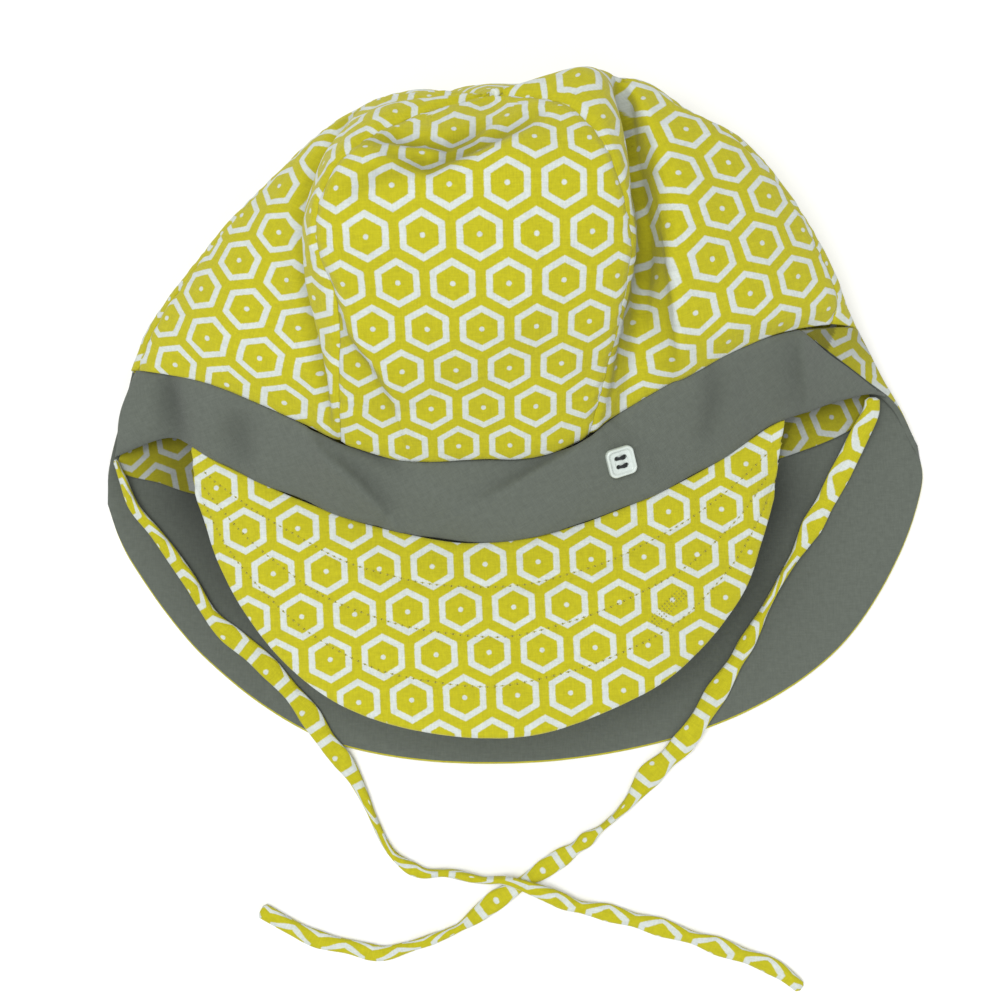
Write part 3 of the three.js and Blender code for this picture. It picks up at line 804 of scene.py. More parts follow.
def creased(name, grid):
    """The relief of a piece's creases, how much shade is painted into them, and how far its print is
    drawn in.
    """
    total, hollow = np.zeros(grid.shape[:2]), np.zeros(grid.shape[:2])
    drawn = np.zeros((*grid.shape[:2], 2))
    for crease in CREASES.get(name, []):
        nearest, side, share = beside(grid, crease["line"])
        height, sharp, tuck = crease["height"], crease["sharp"], crease.get("tuck", 0)
        fade = np.sqrt(np.clip(np.sin(np.pi * np.clip(share, *CREASE_ENDS)), 0, 1))
        if crease["kind"] == "valley":
            low = bell(nearest, fade, sharp)
            total -= height * low
        else:
            soft = crease["soft"]
            near = np.exp(-nearest / soft)
            dip = (1 - np.exp(-nearest / sharp)) * np.exp(-nearest / (BEHIND_REACH * soft))
            behind = np.where(nearest > BEHIND_END * soft, 0, BEHIND_HEIGHT - BEHIND_DIP * dip)
            front = step_up(side * nearest, CREST_WIDTH)
            total += height * fade * near * (front + behind * (1 - front) * BEHIND_SHARE)
            low = fade * (1 - front) * np.exp(-nearest / (2 * sharp))
        # Painted shade in the crease: the deeper the crease, the darker its colour
        hollow += min(height / DEEP, 1) * low
        if tuck:
            start, end = np.array(crease["line"][0]), np.array(crease["line"][-1])
            across = unit(np.array([start[1] - end[1], end[0] - start[0]]))
            beyond = step_up(math.copysign(1, tuck) * side * nearest, sharp)
            reach = beyond * fade * np.exp(-nearest / TUCK_REACH)
            drawn += tuck * reach[..., None] * across
    return total, np.clip(hollow, 0, 1), drawn


# Meshes


def added(name, data):
    """A new object in the scene."""
    thing = bpy.data.objects.new(name, data)
    bpy.context.scene.collection.objects.link(thing)
    return thing


def finished(name, mesh, materials=()):
    """A smooth piece of the hat, with more materials where its mesh has none yet."""
    for material in materials:
        mesh.materials.append(material)
    mesh.polygons.foreach_set("use_smooth", [True] * len(mesh.polygons))
    mesh.update()
    thing = added(name, mesh)
    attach(thing, "root")
    return thing


def outward(mesh, merge=0):
    """Turns the mesh's faces outwards. Points closer than merge become one first."""
    bm = bmesh.new()
    bm.from_mesh(mesh)
    if merge:
        bmesh.ops.remove_doubles(bm, verts=bm.verts, dist=merge)
    bmesh.ops.recalc_face_normals(bm, faces=bm.faces)
    bm.to_mesh(mesh)
    bm.free()


def applied(context, thing):
    """The plain mesh that an object's modifiers make. The object is removed."""
    mesh = bpy.data.meshes.new_from_object(
        thing.evaluated_get(context.evaluated_depsgraph_get())
    )
    bpy.data.objects.remove(thing)
    return mesh


def tube_faces(rows, sides, start=0):
    """Faces of a closed tube of rings: the quads along it, then its two ends."""
    index = start + np.arange(rows * sides).reshape(rows, sides)
    around = np.roll(index, -1, axis=1)
    quads = np.stack([index[:-1], around[:-1], around[1:], index[1:]], -1).reshape(-1, 4)
    return [*quads.tolist(), index[0, ::-1].tolist(), index[-1].tolist()]


def shell(name, face, normal, thickness, place, materials, bulge=EDGE_BULGE, hollow=None):
    """A closed piece of cloth: an outer side, an inner side and a rounded edge between them.

    place holds the points' places on the flat cloth. materials are the outer side's, the inner
    side's, the edge's and, where there is a fourth, the first and the last column's edge's.
    The last argument is a painted-shade mask: how much darker each point's colour is painted, where it
    lies in a fold or under another piece.
    """
    rows, columns = face.shape[:2]
    inner = on_table(face - normal * thickness)
    index = np.arange(rows * columns).reshape(rows, columns)
    ring = np.concatenate([index[0, :-1], index[:-1, -1], index[-1, :0:-1], index[:0:-1, 0]])
    inward = np.concatenate([
        index[1, :-1], index[:-1, -2], index[-2, :0:-1], index[:0:-1, 1]
    ])
    points, under = face.reshape(-1, 3), inner.reshape(-1, 3)
    outwards = unit(points[ring] - points[inward])
    layers = [points, under]
    for share in EDGE_LAYERS:
        middle = points[ring] + (under[ring] - points[ring]) * share
        layers.append(on_table(middle + outwards * bulge * math.sin(math.pi * share)))
    count, edge = rows * columns, len(ring)
    starts = [2 * count + k * edge + np.arange(edge) for k in range(len(EDGE_LAYERS))]
    starts = [ring, *starts, count + ring]
    a, b, c, d = index[:-1, :-1], index[:-1, 1:], index[1:, 1:], index[1:, :-1]
    top = np.stack([a, b, c, d], -1).reshape(-1, 4)
    quads = [top, top[:, ::-1] + count]
    for upper, lower in zip(starts[:-1], starts[1:]):
        quads.append(np.stack([np.roll(upper, -1), upper, lower, np.roll(lower, -1)], -1))
    edges = np.full(edge, 2)
    edges[columns - 1:columns + rows - 2] = len(materials) - 1
    edges[edge - rows + 1 - TURNED_UP_STEPS:] = len(materials) - 1
    which = np.concatenate([np.repeat([0, 1], len(top)), np.tile(edges, len(starts) - 1)])
    quads = np.concatenate(quads)
    row, column = rows // 2, columns // 2
    middle = face[row, column]
    natural = np.cross(face[row, column + 1] - middle, face[row + 1, column] - middle)
    if natural @ normal[row, column] < 0:
        quads = quads[:, ::-1]

    def on_layers(values):
        return np.concatenate([values, values, *[values[ring]] * len(EDGE_LAYERS)])

    mesh = bpy.data.meshes.new(name)
    mesh.from_pydata((np.concatenate(layers) * MM).tolist(), [], quads.tolist())
    mesh.polygons.foreach_set("material_index", which.astype(np.int32))
    corner = np.zeros(len(mesh.loops), np.int32)
    mesh.loops.foreach_get("vertex_index", corner)
    layer = mesh.uv_layers.new(name="cloth")
    place = on_layers(place.reshape(-1, 2)) * MM
    layer.uv.foreach_set("vector", place[corner].astype(np.float32).ravel())
    # The painted-shade mask, which darkens the colour in the cotton's material
    if hollow is not None:
        attribute = mesh.attributes.new("hollow", "FLOAT", "POINT")
        attribute.data.foreach_set("value", on_layers(hollow.ravel()).astype(np.float32))
    return finished(name, mesh, materials)


def printed_at(name, flat):
    """The flat cloth's places moved so that a hexagon of the print is at zero."""
    place = {**UNPULLED, **PRINTS[name]}
    turn = math.radians(place["turn"])
    x, y = flat[..., 0] - place["x"], flat[..., 1] - place["y"]
    x, y = x * math.cos(turn) + y * math.sin(turn), y * math.cos(turn) - x * math.sin(turn)
    return np.stack(
        [place["wide"] * x + place["lean"] * y, place["lean"] * x + place["tall"] * y], -1
    )


def as_seen(grid):
    """The cloth's places in plan, spread by height, so that the print looks straight from above."""
    scale = (CAMERA[2] - PRINT_LEVEL) / (CAMERA[2] - grid[..., 2:])
    return (grid[..., :2] - np.array(CAMERA[:2])) * scale


def cloth_piece(name, slot, held, face, normal, thickness, flat, place, materials, **more):
    """A cloth that stands for its plain solid. Its flat cloth is not used."""
    thing = shell(name + "_cloth", face, normal, thickness, place, materials, **more)
    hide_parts(name)


def crown_cloth(name):
    """A crown panel's outside, its normals, its flat cloth, its drawn cloth and its painted shade for
    creases.
    """
    panel = PANELS[name]

    def end(place, sign):
        def at(v):
            low = on_crown(np.full((len(v), 1), place - LOOP_STEP), v)
            high = on_crown(np.full((len(v), 1), place + LOOP_STEP), v)
            speed = np.linalg.norm(high - low, axis=-1)[:, 0] / (2 * LOOP_STEP)
            inset = np.minimum(HALF_SEAM / np.maximum(speed, 1e-6), HALF_SEAM_LIMIT)
            return place + sign * inset
        return at

    grid = even_grid(
        on_crown, end(panel["first"], 1), end(panel["last"], -1), 0, PANEL_END,
        panel["columns"], PANEL_ROWS,
    )
    normal = facing(grid)
    flat = pressed_flat(grid)
    run, rise = run_along(grid, 1), run_along(grid, 0)
    back = run[:, -1:] - run
    seed = panel["first"]
    relief = unevenness("crown", flat, seed)
    relief *= np.clip(run / SEAM_FADE, 0, 1) * np.clip(back / SEAM_FADE, 0, 1)
    relief += seam_relief(run, rise, seed)
    relief += seam_relief(back, rise, seed + 1)
    relief -= bell(rise, *GROOVES["crown lower edge"])
    folds, hollow, drawn = creased(name, grid)
    relief += folds * np.clip(np.minimum(run, back) / SEAM_FADE, 0, 1)
    grid = on_table(grid + normal * relief[..., None])
    return grid, facing(grid), flat, flat + drawn, hollow


def band_cloth():
    """The band's outside, its normals, its flat cloth and its painted shade for creases."""
    grid = even_grid(on_band, *map(constant, BAND_SPAN), 0, 1, *GRIDS["front_band"])
    normal = -facing(grid)
    flat = pressed_flat(grid)
    relief = unevenness("front_band", flat)
    run = run_along(grid, 0)
    for distance in (run, run[-1:] - run):
        relief -= bell(distance, *GROOVES["band edge"])
    folds, hollow, _ = creased("front_band", grid)
    grid = grid + normal * (relief + folds)[..., None]
    return grid, -facing(grid), flat, hollow


def quilt_row(row, rows, column_share):
    """Where a stitched row runs, as a share of the visor's depth."""
    wander = sum(
        sway * np.sin(waves * column_share + shift * row) for sway, waves, shift in QUILT_WANDER
    )
    return (row + wander) / (rows + 1)


def visor_cloth(sizes):
    """The visor's outside, its normals and its flat cloth."""
    grid = even_grid(on_visor, constant(0), constant(1), 0, 1, *GRIDS["visor"])
    normal = -facing(grid)
    flat = pressed_flat(grid)
    relief = unevenness("visor", flat)
    run, down = run_along(grid, 1), run_along(grid, 0)
    depth = down[-1:]
    share = down / depth
    rows = sizes.quilt_rows
    for row in range(1, rows + 1):
        away = (share - quilt_row(row, rows, np.linspace(0, 1, grid.shape[1]))) * depth
        ripple = 1 + QUILT_PUCKER * np.sin(2 * math.pi * run / QUILT_PUCKER_WAVE + row)
        relief -= bell(away, sizes.quilt_depth / MM, QUILT_GROOVE_WIDTH) * ripple
    relief -= bell(share * depth, *GROOVES["visor seam"])
    relief -= bell((1 - share) * depth, *GROOVES["visor edge"])
    grid = grid + normal * relief[..., None]
    return grid, -facing(grid), flat


def flap_cloth(name, first, last, hem, lift, shade):
    """The flap's cloth, or the lining's end on it, as seen from inside the hat."""
    plain = even_grid(on_flap, constant(first), constant(last), FLAP_START, hem, *GRIDS[name])
    normal = facing(plain)
    for _ in range(SMOOTHINGS):
        for axis in (0, 1):
            before, after = np.roll(normal, 1, axis), np.roll(normal, -1, axis)
            inner = [slice(None), slice(None)]
            inner[axis] = slice(1, -1)
            normal[tuple(inner)] = unit(before + 2 * normal + after)[tuple(inner)]
    flat = pressed_flat(plain)
    run = run_along(plain, 1)
    calm = np.clip(np.minimum(run, run[:, -1:] - run) / CALM_EDGE, 0, 1)
    relief = np.maximum(unevenness("neck_flap", flat), -DEEPEST_DIP) * calm
    grid = on_table(plain + normal * (lift + relief)[..., None])
    # Painted shade: darker near the crown, with a painted shadow beside the visor where it lies low
    hollow = bell(run_along(plain, 0), shade, SHADE_REACH)
    return grid, normal, flat, np.minimum(hollow + visor_shade(plain), DEEPEST_SHADE)


def visor_shade(grid):
    """Painted shadow of the visor on the flap beside it, stronger where the visor lies low: how much
    darker the flap's colour is painted.
    """
    edge = visor_outer_edge(np.linspace(0, 1, VISOR_EDGE_POINTS))
    nearest, side, share = beside(grid, edge[:, :2])
    gap = np.where(side < 0, nearest, 0)
    low = np.clip(1 - visor_outer_edge(share)[..., 2] / UNSHADED_HEIGHT, 0, 1)
    return bell(gap, VISOR_SHADE * low, VISOR_SHADE_REACH)


# Materials


def node(tree, kind, inputs=None, **settings):
    """A node with its settings. inputs gives each socket its value or the socket that feeds it."""
    made = tree.nodes.new(kind)
    for key, value in settings.items():
        setattr(made, key, value)
    for key, value in (inputs or {}).items():
        if isinstance(value, bpy.types.NodeSocket):
            tree.links.new(value, made.inputs[key])
        else:
            made.inputs[key].default_value = value
    return made


def math_node(tree, operation, *values):
    """What a Math node gives for its values, each a number or the socket that feeds it."""
    return node(tree, "ShaderNodeMath", dict(enumerate(values)), operation=operation).outputs[0]


def made_once(collection):
    """For a function that makes something under a name: gives what has that name already."""
    def wrap(make):
        def get(name, *values, **more):
            return getattr(bpy.data, collection).get(name) or make(name, *values, **more)
        return get
    return wrap


def group_with(name, kind, inputs, outputs):
    """A node group, what it is given and what it gives out.

    inputs has the kind of each socket, or the default of a number, and outputs the kinds.
    """
    tree = bpy.data.node_groups.new(name, kind)
    for socket, default in inputs.items():
        if isinstance(default, str):
            tree.interface.new_socket(socket, in_out="INPUT", socket_type=default)
        else:
            made = tree.interface.new_socket(socket, in_out="INPUT", socket_type="NodeSocketFloat")
            made.default_value = default
    for socket, socket_type in outputs.items():
        tree.interface.new_socket(socket, in_out="OUTPUT", socket_type=socket_type)
    return tree, tree.nodes.new("NodeGroupInput").outputs, tree.nodes.new("NodeGroupOutput").inputs


def counted_in(tree, given):
    """The cloth's place in pitches of its pattern."""
    scale = math_node(tree, "DIVIDE", 1.0, given["Pitch"])
    return node(
        tree, "ShaderNodeVectorMath", {0: given["Vector"], "Scale": scale}, operation="SCALE"
    ).outputs[0]


def noise(tree, vector, scale, detail, dimensions="2D"):
    """A soft noise's value at a place."""
    return node(
        tree, "ShaderNodeTexNoise", {"Scale": scale, "Detail": detail, "Vector": vector},
        noise_dimensions=dimensions,
    ).outputs["Fac"]


@made_once("node_groups")
def hexagon_print(name):
    """A group that gives where the white of the print is: rings of hexagons with a dot each."""
    tree, given, out = group_with(
        name, "ShaderNodeTree", {"Vector": "NodeSocketVector", **HEXAGON}, {"White": "NodeSocketFloat"}
    )
    calculate, vector_math = partial(math_node, tree), partial(node, tree, "ShaderNodeVectorMath")
    counted = counted_in(tree, given)
    wobble = calculate("MULTIPLY_ADD", noise(tree, counted, *INK_NOISE), INK_WOBBLE, -INK_WOBBLE / 2)
    row = math.sqrt(3) / 2
    shapes, centres = [], []
    for shift in ((0, 0, 0), (0.5, row, 0)):
        moved = vector_math({0: counted, 1: shift}, operation="ADD")
        limits = {1: (0.5, row, 1), 2: (-0.5, -row, -1)}
        cell = vector_math({0: moved.outputs[0], **limits}, operation="WRAP")
        size = vector_math({0: cell.outputs[0]}, operation="ABSOLUTE")
        x, y, _ = node(tree, "ShaderNodeSeparateXYZ", {0: size.outputs[0]}).outputs
        slant = calculate("MULTIPLY_ADD", x, 0.5, calculate("MULTIPLY", y, row))
        shapes.append(calculate("SMOOTH_MAX", x, slant, HEXAGON_ROUNDING))
        squares = calculate("MULTIPLY", x, x), calculate("MULTIPLY", y, y)
        centres.append(calculate("SQRT", calculate("ADD", *squares)))
    hexagon = calculate("ADD", calculate("MINIMUM", *shapes), wobble)
    centre = calculate("ADD", calculate("MINIMUM", *centres), wobble)

    def inside(distance, limit):
        """One where distance is under limit, with a blurred edge."""
        return node(tree, "ShaderNodeMapRange", {
            "Value": distance, "To Min": 1, "To Max": 0,
            "From Min": calculate("SUBTRACT", limit, given["Blur"]),
            "From Max": calculate("ADD", limit, given["Blur"]),
        }, interpolation_type="SMOOTHSTEP", clamp=True).outputs["Result"]

    ring = calculate("SUBTRACT", inside(hexagon, given["Outer"]), inside(hexagon, given["Inner"]))
    white = calculate("MAXIMUM", ring, inside(centre, given["Dot"]))
    tree.links.new(white, out["White"])
    return tree


@made_once("node_groups")
def cotton_weave(name):
    """A group that gives a plain weave's height, and the uneven tone of its threads."""
    tree, given, out = group_with(
        name, "ShaderNodeTree", {"Vector": "NodeSocketVector", "Pitch": 0.0004},
        {"Height": "NodeSocketFloat", "Tone": "NodeSocketFloat"},
    )
    calculate = partial(math_node, tree)
    counted = counted_in(tree, given)
    split = node(tree, "ShaderNodeSeparateXYZ", {0: counted}).outputs
    crest, number = [], []
    for axis in (0, 1):
        share = calculate("FRACT", split[axis])
        crest.append(calculate("SINE", calculate("MULTIPLY", share, math.pi)))
        number.append(calculate("FLOOR", split[axis]))
    odd = calculate("PINGPONG", calculate("ADD", *number), 1.0)
    warp = calculate("MULTIPLY", crest[0], calculate("MULTIPLY_ADD", crest[1], 0.5, 0.5))
    weft = calculate("MULTIPLY", crest[1], calculate("MULTIPLY_ADD", crest[0], 0.5, 0.5))
    height = calculate(
        "ADD", calculate("MULTIPLY", warp, odd),
        calculate("MULTIPLY", weft, calculate("SUBTRACT", 1.0, odd)),
    )
    tones = []
    for stretch in ((SLUB_STRETCH, 1.0, 1.0), (1.0, SLUB_STRETCH, 1.0)):
        drawn = node(tree, "ShaderNodeVectorMath", {0: counted, 1: stretch}, operation="MULTIPLY")
        tones.append(noise(tree, drawn.outputs[0], *SLUB_NOISE))
    tone = calculate("ADD", calculate("ADD", *tones), noise(tree, counted, *MOTTLE_NOISE))
    tone = calculate("DIVIDE", tone, 3.0)
    tree.links.new(tone, out["Tone"])
    tree.links.new(calculate("MULTIPLY_ADD", tone, SLUB_HEIGHT, height), out["Height"])
    return tree


def new_material(name, finish):
    """A material, its tree and its shader, with what the finish sets on the shader."""
    material = bpy.data.materials.new(name)
    material.use_nodes = True
    shader = material.node_tree.nodes["Principled BSDF"]
    for key, value in finish.items():
        shader.inputs[key].default_value = value
    return material, material.node_tree, shader


def mixed(tree, first, second, factor, blend_type="MIX"):
    """Two colours mixed, each a colour or the socket that feeds it."""
    return node(
        tree, "ShaderNodeMix", {"Factor": factor, 6: first, 7: second},
        data_type="RGBA", blend_type=blend_type,
    ).outputs[2]


def bumpy(tree, shader, height, strength, distance):
    """Gives the shader a bump from a height."""
    bump = node(
        tree, "ShaderNodeBump", {"Height": height, "Strength": strength, "Distance": distance}
    )
    tree.links.new(bump.outputs[0], shader.inputs["Normal"])


@made_once("materials")
def cloth_material(name, base, sizes, second=None, pitch=None):
    """Woven cotton, plain, or printed where a second colour is given, its colour darkened by painted
    shade.
    """
    material, tree, shader = new_material(name, COTTON_FINISH)
    cloth = node(tree, "ShaderNodeUVMap", uv_map="cloth").outputs[0]

    def pattern(group, spacing):
        return node(
            tree, "ShaderNodeGroup", {"Pitch": spacing, "Vector": cloth}, node_tree=group
        ).outputs

    weave = pattern(cotton_weave("cotton weave"), sizes.thread_pitch)
    colour = (*base, 1)
    if second is not None:
        white = pattern(hexagon_print("hexagon print"), pitch)["White"]
        colour = mixed(tree, colour, (*second, 1), white)
    light = node(tree, "ShaderNodeMapRange", {
        "Value": weave["Tone"], "From Min": LOW_TONE, "From Max": HIGH_TONE,
        "To Min": DARKEST_THREAD, "To Max": LIGHTEST_THREAD,
    })
    # Painted shade: the colour is darkened where the cloth lies in a crease or under the crown and
    # visor
    fold = node(tree, "ShaderNodeAttribute", attribute_name="hollow")
    shade = math_node(tree, "MULTIPLY_ADD", fold.outputs["Fac"], -HOLLOW_SHADE, 1.0)
    shade = math_node(tree, "MULTIPLY", shade, light.outputs["Result"])
    tones = node(tree, "ShaderNodeCombineColor", {channel: shade for channel in range(3)})
    colour = mixed(tree, colour, tones.outputs[0], 1, "MULTIPLY")
    tree.links.new(colour, shader.inputs["Base Color"])
    bumpy(tree, shader, weave["Height"], WEAVE_BUMP, WEAVE_DEPTH)
    return material


@made_once("materials")
def grained_material(name, base):
    """Plastic or thread: one colour with a fine grain on the object's own coordinates."""
    finish = GRAINS[name]
    material, tree, shader = new_material(name, {"Coat Weight": finish["coat"]})
    place = node(tree, "ShaderNodeTexCoord").outputs["Object"]
    grains = noise(tree, place, finish["grain"], GRAIN_DETAIL, "3D")
    darker = (*[GRAIN_TONE * level for level in base], 1)
    tree.links.new(mixed(tree, darker, (*base, 1), grains), shader.inputs["Base Color"])
    least = finish["roughness"] - GRAIN_OFFSET
    rough = math_node(tree, "MULTIPLY_ADD", grains, GRAIN_SPREAD, least)
    tree.links.new(rough, shader.inputs["Roughness"])
    bumpy(tree, shader, grains, GRAIN_BUMP, finish["depth"])
    return material


def printed_cotton(context, name="printed cotton", pitch="print_pitch"):
    """The hexagon print. pitch names the size that spaces it."""
    sizes, colours = context.scene.hat_sizes, context.scene.hat_colours
    return cloth_material(name, colours.ink, sizes, colours.white, getattr(sizes, pitch))


def plain_cotton(context, name, colour):
    """Cotton of one of the hat's colours, by its name."""
    colours = context.scene.hat_colours
    return cloth_material(name, getattr(colours, colour), context.scene.hat_sizes)


# Operators: one for each piece or group of like pieces


class HAT_OT_stage(bpy.types.Operator):
    """Sets up the camera, the pale floor and soft studio light"""

    bl_idname = "sun_hat.stage"
    bl_label = "Stage and camera"

    def execute(self, context):
        camera = bpy.data.cameras.new("camera")
        camera.lens, camera.sensor_width = LENS, SENSOR
        camera.clip_start, camera.clip_end = CLIP
        context.scene.camera = added("camera", camera)
        context.scene.camera.location = [place * MM for place in CAMERA]

        mesh = bpy.data.meshes.new("floor")
        corners = ((-1, -1), (1, -1), (1, 1), (-1, 1))
        places = [(x * FLOOR_HALF, y * FLOOR_HALF, -FLOOR_DROP) for x, y in corners]
        mesh.from_pydata(places, [], [(0, 1, 2, 3)])
        mesh.materials.append(new_material("white paper", PAPER_FINISH)[0])
        added("floor", mesh)

        for name, given in LAMPS.items():
            lamp = bpy.data.lights.new(name, "AREA")
            lamp.shape, lamp.size, lamp.energy = "SQUARE", given["size"], given["power"]
            thing = added(name, lamp)
            thing.location = given["place"]
            thing.rotation_mode = "QUATERNION"
            thing.rotation_quaternion = Vector(given["place"]).to_track_quat("Z", "Y")
        world = bpy.data.worlds.new("studio")
        world.use_nodes = True
        sky = world.node_tree.nodes["Background"]
        sky.inputs["Color"].default_value = (1, 1, 1, 1)
        sky.inputs["Strength"].default_value = SKY
        context.scene.world = world
        context.scene.view_settings.view_transform = "Standard"
        return {"FINISHED"}


def tie_tube(tie, total, line):
    """A tie's rings of points, its cloth's places along and round them, and its middle line."""
    count = int(total / TIE_STEP)
    share = np.linspace(0, 1, count)
    run = share * total
    middle = even_line(line)(share)
    width, shift, slide = (
        np.interp(run, *np.array(tie[key], float).T) for key in ("width", "shift", "slide")
    )
    soft = np.hanning(TIE_SMOOTHING) / np.hanning(TIE_SMOOTHING).sum()
    width = np.convolve(np.pad(width, TIE_SMOOTHING // 2, mode="edge"), soft, "valid")
    rolled = np.clip((TIE_WIDTH - width) / (TIE_WIDTH - TIE_ROLLED_WIDTH), 0, 1)
    thick = TIE_THICK + TIE_ROLLED_MORE * rolled
    lengthwise = unit(np.gradient(middle, axis=0))
    across = unit(np.cross(lengthwise, [0, 0, 1]))
    up = np.cross(across, lengthwise)
    middle = middle + up * ((thick - TIE_LINE_THICK) / 2)[:, None]
    end = np.clip(np.minimum(share, 1 - share) * total / TIE_END, 0, 1)
    closing = TIE_CLOSING + (1 - TIE_CLOSING) * np.sqrt(1 - (1 - end) ** 2)
    angle = np.linspace(0, 2 * math.pi, TIE_SIDES, endpoint=False)
    round_x = np.sign(np.cos(angle)) * abs(np.cos(angle)) ** TIE_SQUARENESS
    round_z = np.sign(np.sin(angle)) * abs(np.sin(angle)) ** TIE_SQUARENESS
    waves = np.sin(run / TIE_CRUMPLE_WAVE + 2 * np.sin(run / TIE_CRUMPLE_SWAY))
    crumple = TIE_CRUMPLE * waves[:, None] * np.cos(3 * angle + 1)
    crumple = crumple * (1 + TIE_CRUMPLED_MORE * rolled)[:, None]
    sway = 1 + TIE_SWAY * np.sin(run / TIE_SWAY_WAVE)
    x = round_x * (width / 2 * closing)[:, None] * sway[:, None]
    z = round_z * (thick / 2 * closing)[:, None] + crumple * abs(round_z)
    z = np.maximum(z, -(thick / 2)[:, None])
    points = middle[:, None] + across[:, None] * x[..., None] + up[:, None] * z[..., None]
    half_round = (0.5 * math.pi - np.append(angle, 2 * math.pi)) / math.pi
    v = half_round * (TIE_HALF_CLOTH + TIE_CLOTH_MORE * rolled)[:, None] + shift[:, None]
    u = np.broadcast_to((run + slide)[:, None], v.shape)
    return on_table(points), np.stack([u, v], -1), middle


class HAT_OT_ties(bpy.types.Operator):
    """Makes the two ties, narrow flat tubes of cloth that roll up here and there"""

    bl_idname = "sun_hat.ties"
    bl_label = "Ties"

    def execute(self, context):
        cotton = printed_cotton(context, "printed cotton of the ties", "tie_pitch")
        for name, tie in TIES.items():
            route = np.array(tie["route"], float)
            line = along(route, np.linspace(0, len(route) - 1, FINE))
            total = float(run_along(line, 0)[-1])
            points, place, middle = tie_tube(tie, total, line)
            mesh = bpy.data.meshes.new(name)
            faces = tube_faces(*points.shape[:2])
            mesh.from_pydata((points.reshape(-1, 3) * MM).tolist(), [], faces)
            corners = [place[:-1, :-1], place[:-1, 1:], place[1:, 1:], place[1:, :-1]]
            ends = np.repeat(place[[0, -1], TIE_SIDES // 4], TIE_SIDES, axis=0)
            places = np.concatenate([np.stack(corners, 2).reshape(-1, 2), ends])
            layer = mesh.uv_layers.new(name="cloth")
            layer.uv.foreach_set("vector", (places * MM).astype(np.float32).ravel())
            outward(mesh)
            thing = finished(name + "_cloth", mesh, [cotton])
            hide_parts(name)
        return {"FINISHED"}


class HAT_OT_crown(bpy.types.Operator):
    """Makes the six crown panels with their seams and creases, and the gather at their top"""

    bl_idname = "sun_hat.crown"
    bl_label = "Crown"

    def execute(self, context):
        thickness = context.scene.hat_sizes.crown_cloth / MM
        cotton = printed_cotton(context)
        for name in PANELS:
            grid, normal, flat, drawn, hollow = crown_cloth(name)
            cloth_piece(
                name, "printed_cotton", "draped", grid, normal, thickness, flat,
                printed_at(name, drawn), [cotton] * 3, hollow=hollow,
            )
        bm = bmesh.new()
        bmesh.ops.create_uvsphere(bm, u_segments=32, v_segments=16, radius=1)
        layer = bm.loops.layers.uv.new("cloth")
        for vertex in bm.verts:
            place = [at + side * half for at, side, half in zip(GATHER, vertex.co, GATHER_HALF)]
            vertex.co = Vector(place) * MM
        for face in bm.faces:
            for loop in face.loops:
                loop[layer].uv = loop.vert.co.xy
        mesh = bpy.data.meshes.new("crown_gather")
        bm.to_mesh(mesh)
        bm.free()
        finished("crown_gather", mesh, [plain_cotton(context, "yellow edge of the cotton", "ink")])
        return {"FINISHED"}


class HAT_OT_band(bpy.types.Operator):
    """Makes the plain band across the front"""

    bl_idname = "sun_hat.band"
    bl_label = "Band"

    def execute(self, context):
        grey = plain_cotton(context, "plain grey cotton", "grey")
        grid, normal, flat, hollow = band_cloth()
        cloth_piece(
            "front_band", "grey_cotton", "draped", grid, normal,
            context.scene.hat_sizes.band_cloth / MM, flat, flat,
            [grey, printed_cotton(context), grey], bulge=0.5, hollow=hollow,
        )
        return {"FINISHED"}


class HAT_OT_visor(bpy.types.Operator):
    """Makes the quilted visor with its stitched rows"""

    bl_idname = "sun_hat.visor"
    bl_label = "Visor"

    def execute(self, context):
        sizes = context.scene.hat_sizes
        grid, normal, flat = visor_cloth(sizes)
        cloth_piece(
            "visor", "printed_cotton", "draped", grid, normal, sizes.visor_cloth / MM, flat,
            printed_at("visor", as_seen(grid)), [printed_cotton(context)] * 3, bulge=0.8,
        )
        return {"FINISHED"}


class HAT_OT_flap(bpy.types.Operator):
    """Makes the neck flap, grey inside and printed outside, and the lining's end on it"""

    bl_idname = "sun_hat.flap"
    bl_label = "Neck flap and lining"

    def execute(self, context):
        sizes = context.scene.hat_sizes
        grey = plain_cotton(context, "plain grey cotton", "grey")
        yellow = plain_cotton(context, "yellow edge of the cotton", "ink")
        cotton = printed_cotton(context)
        flap, lining = sizes.flap_cloth / MM, sizes.lining_cloth / MM
        grid, normal, flat, hollow = flap_cloth(
            "neck_flap", 0, len(FLAP_LINES) - 1, FLAP_HEM, flap, FLAP_SHADE
        )
        cloth_piece(
            "neck_flap", "grey_cotton", "laid", grid, normal, flap - FLAP_SKIN_GAP, flat,
            printed_at("neck_flap", flat), [grey, cotton, yellow, grey], bulge=0.7, hollow=hollow,
        )
        grid, normal, flat, hollow = flap_cloth(
            "lining_end", *LINING_SPAN, LINING_HEM, flap + LAYER_GAP + lining, LINING_SHADE
        )
        cloth_piece(
            "lining_end", "printed_cotton", "laid", grid, normal, lining, flat,
            printed_at("lining_end", flat), [cotton] * 3, bulge=0.3, hollow=hollow,
        )
        return {"FINISHED"}


def button_place():
    """The button's middle on the band, and its three axes."""
    at, v = np.array([[BUTTON_PLACE[0]]]), np.array([BUTTON_PLACE[1]])
    step = 0.004
    middle = on_band(at, v)[0, 0]
    along_band = (on_band(at + step, v) - on_band(at - step, v))[0, 0]
    across = (on_band(at, v + step) - on_band(at, v - step))[0, 0]
    up = unit(-np.cross(along_band, across))
    right = unit(np.array([1, 0, 0]) - up * up[0])
    ahead = np.cross(up, right)
    x = right * math.cos(BUTTON_TURN) + ahead * math.sin(BUTTON_TURN)
    return middle, x, np.cross(up, x), up


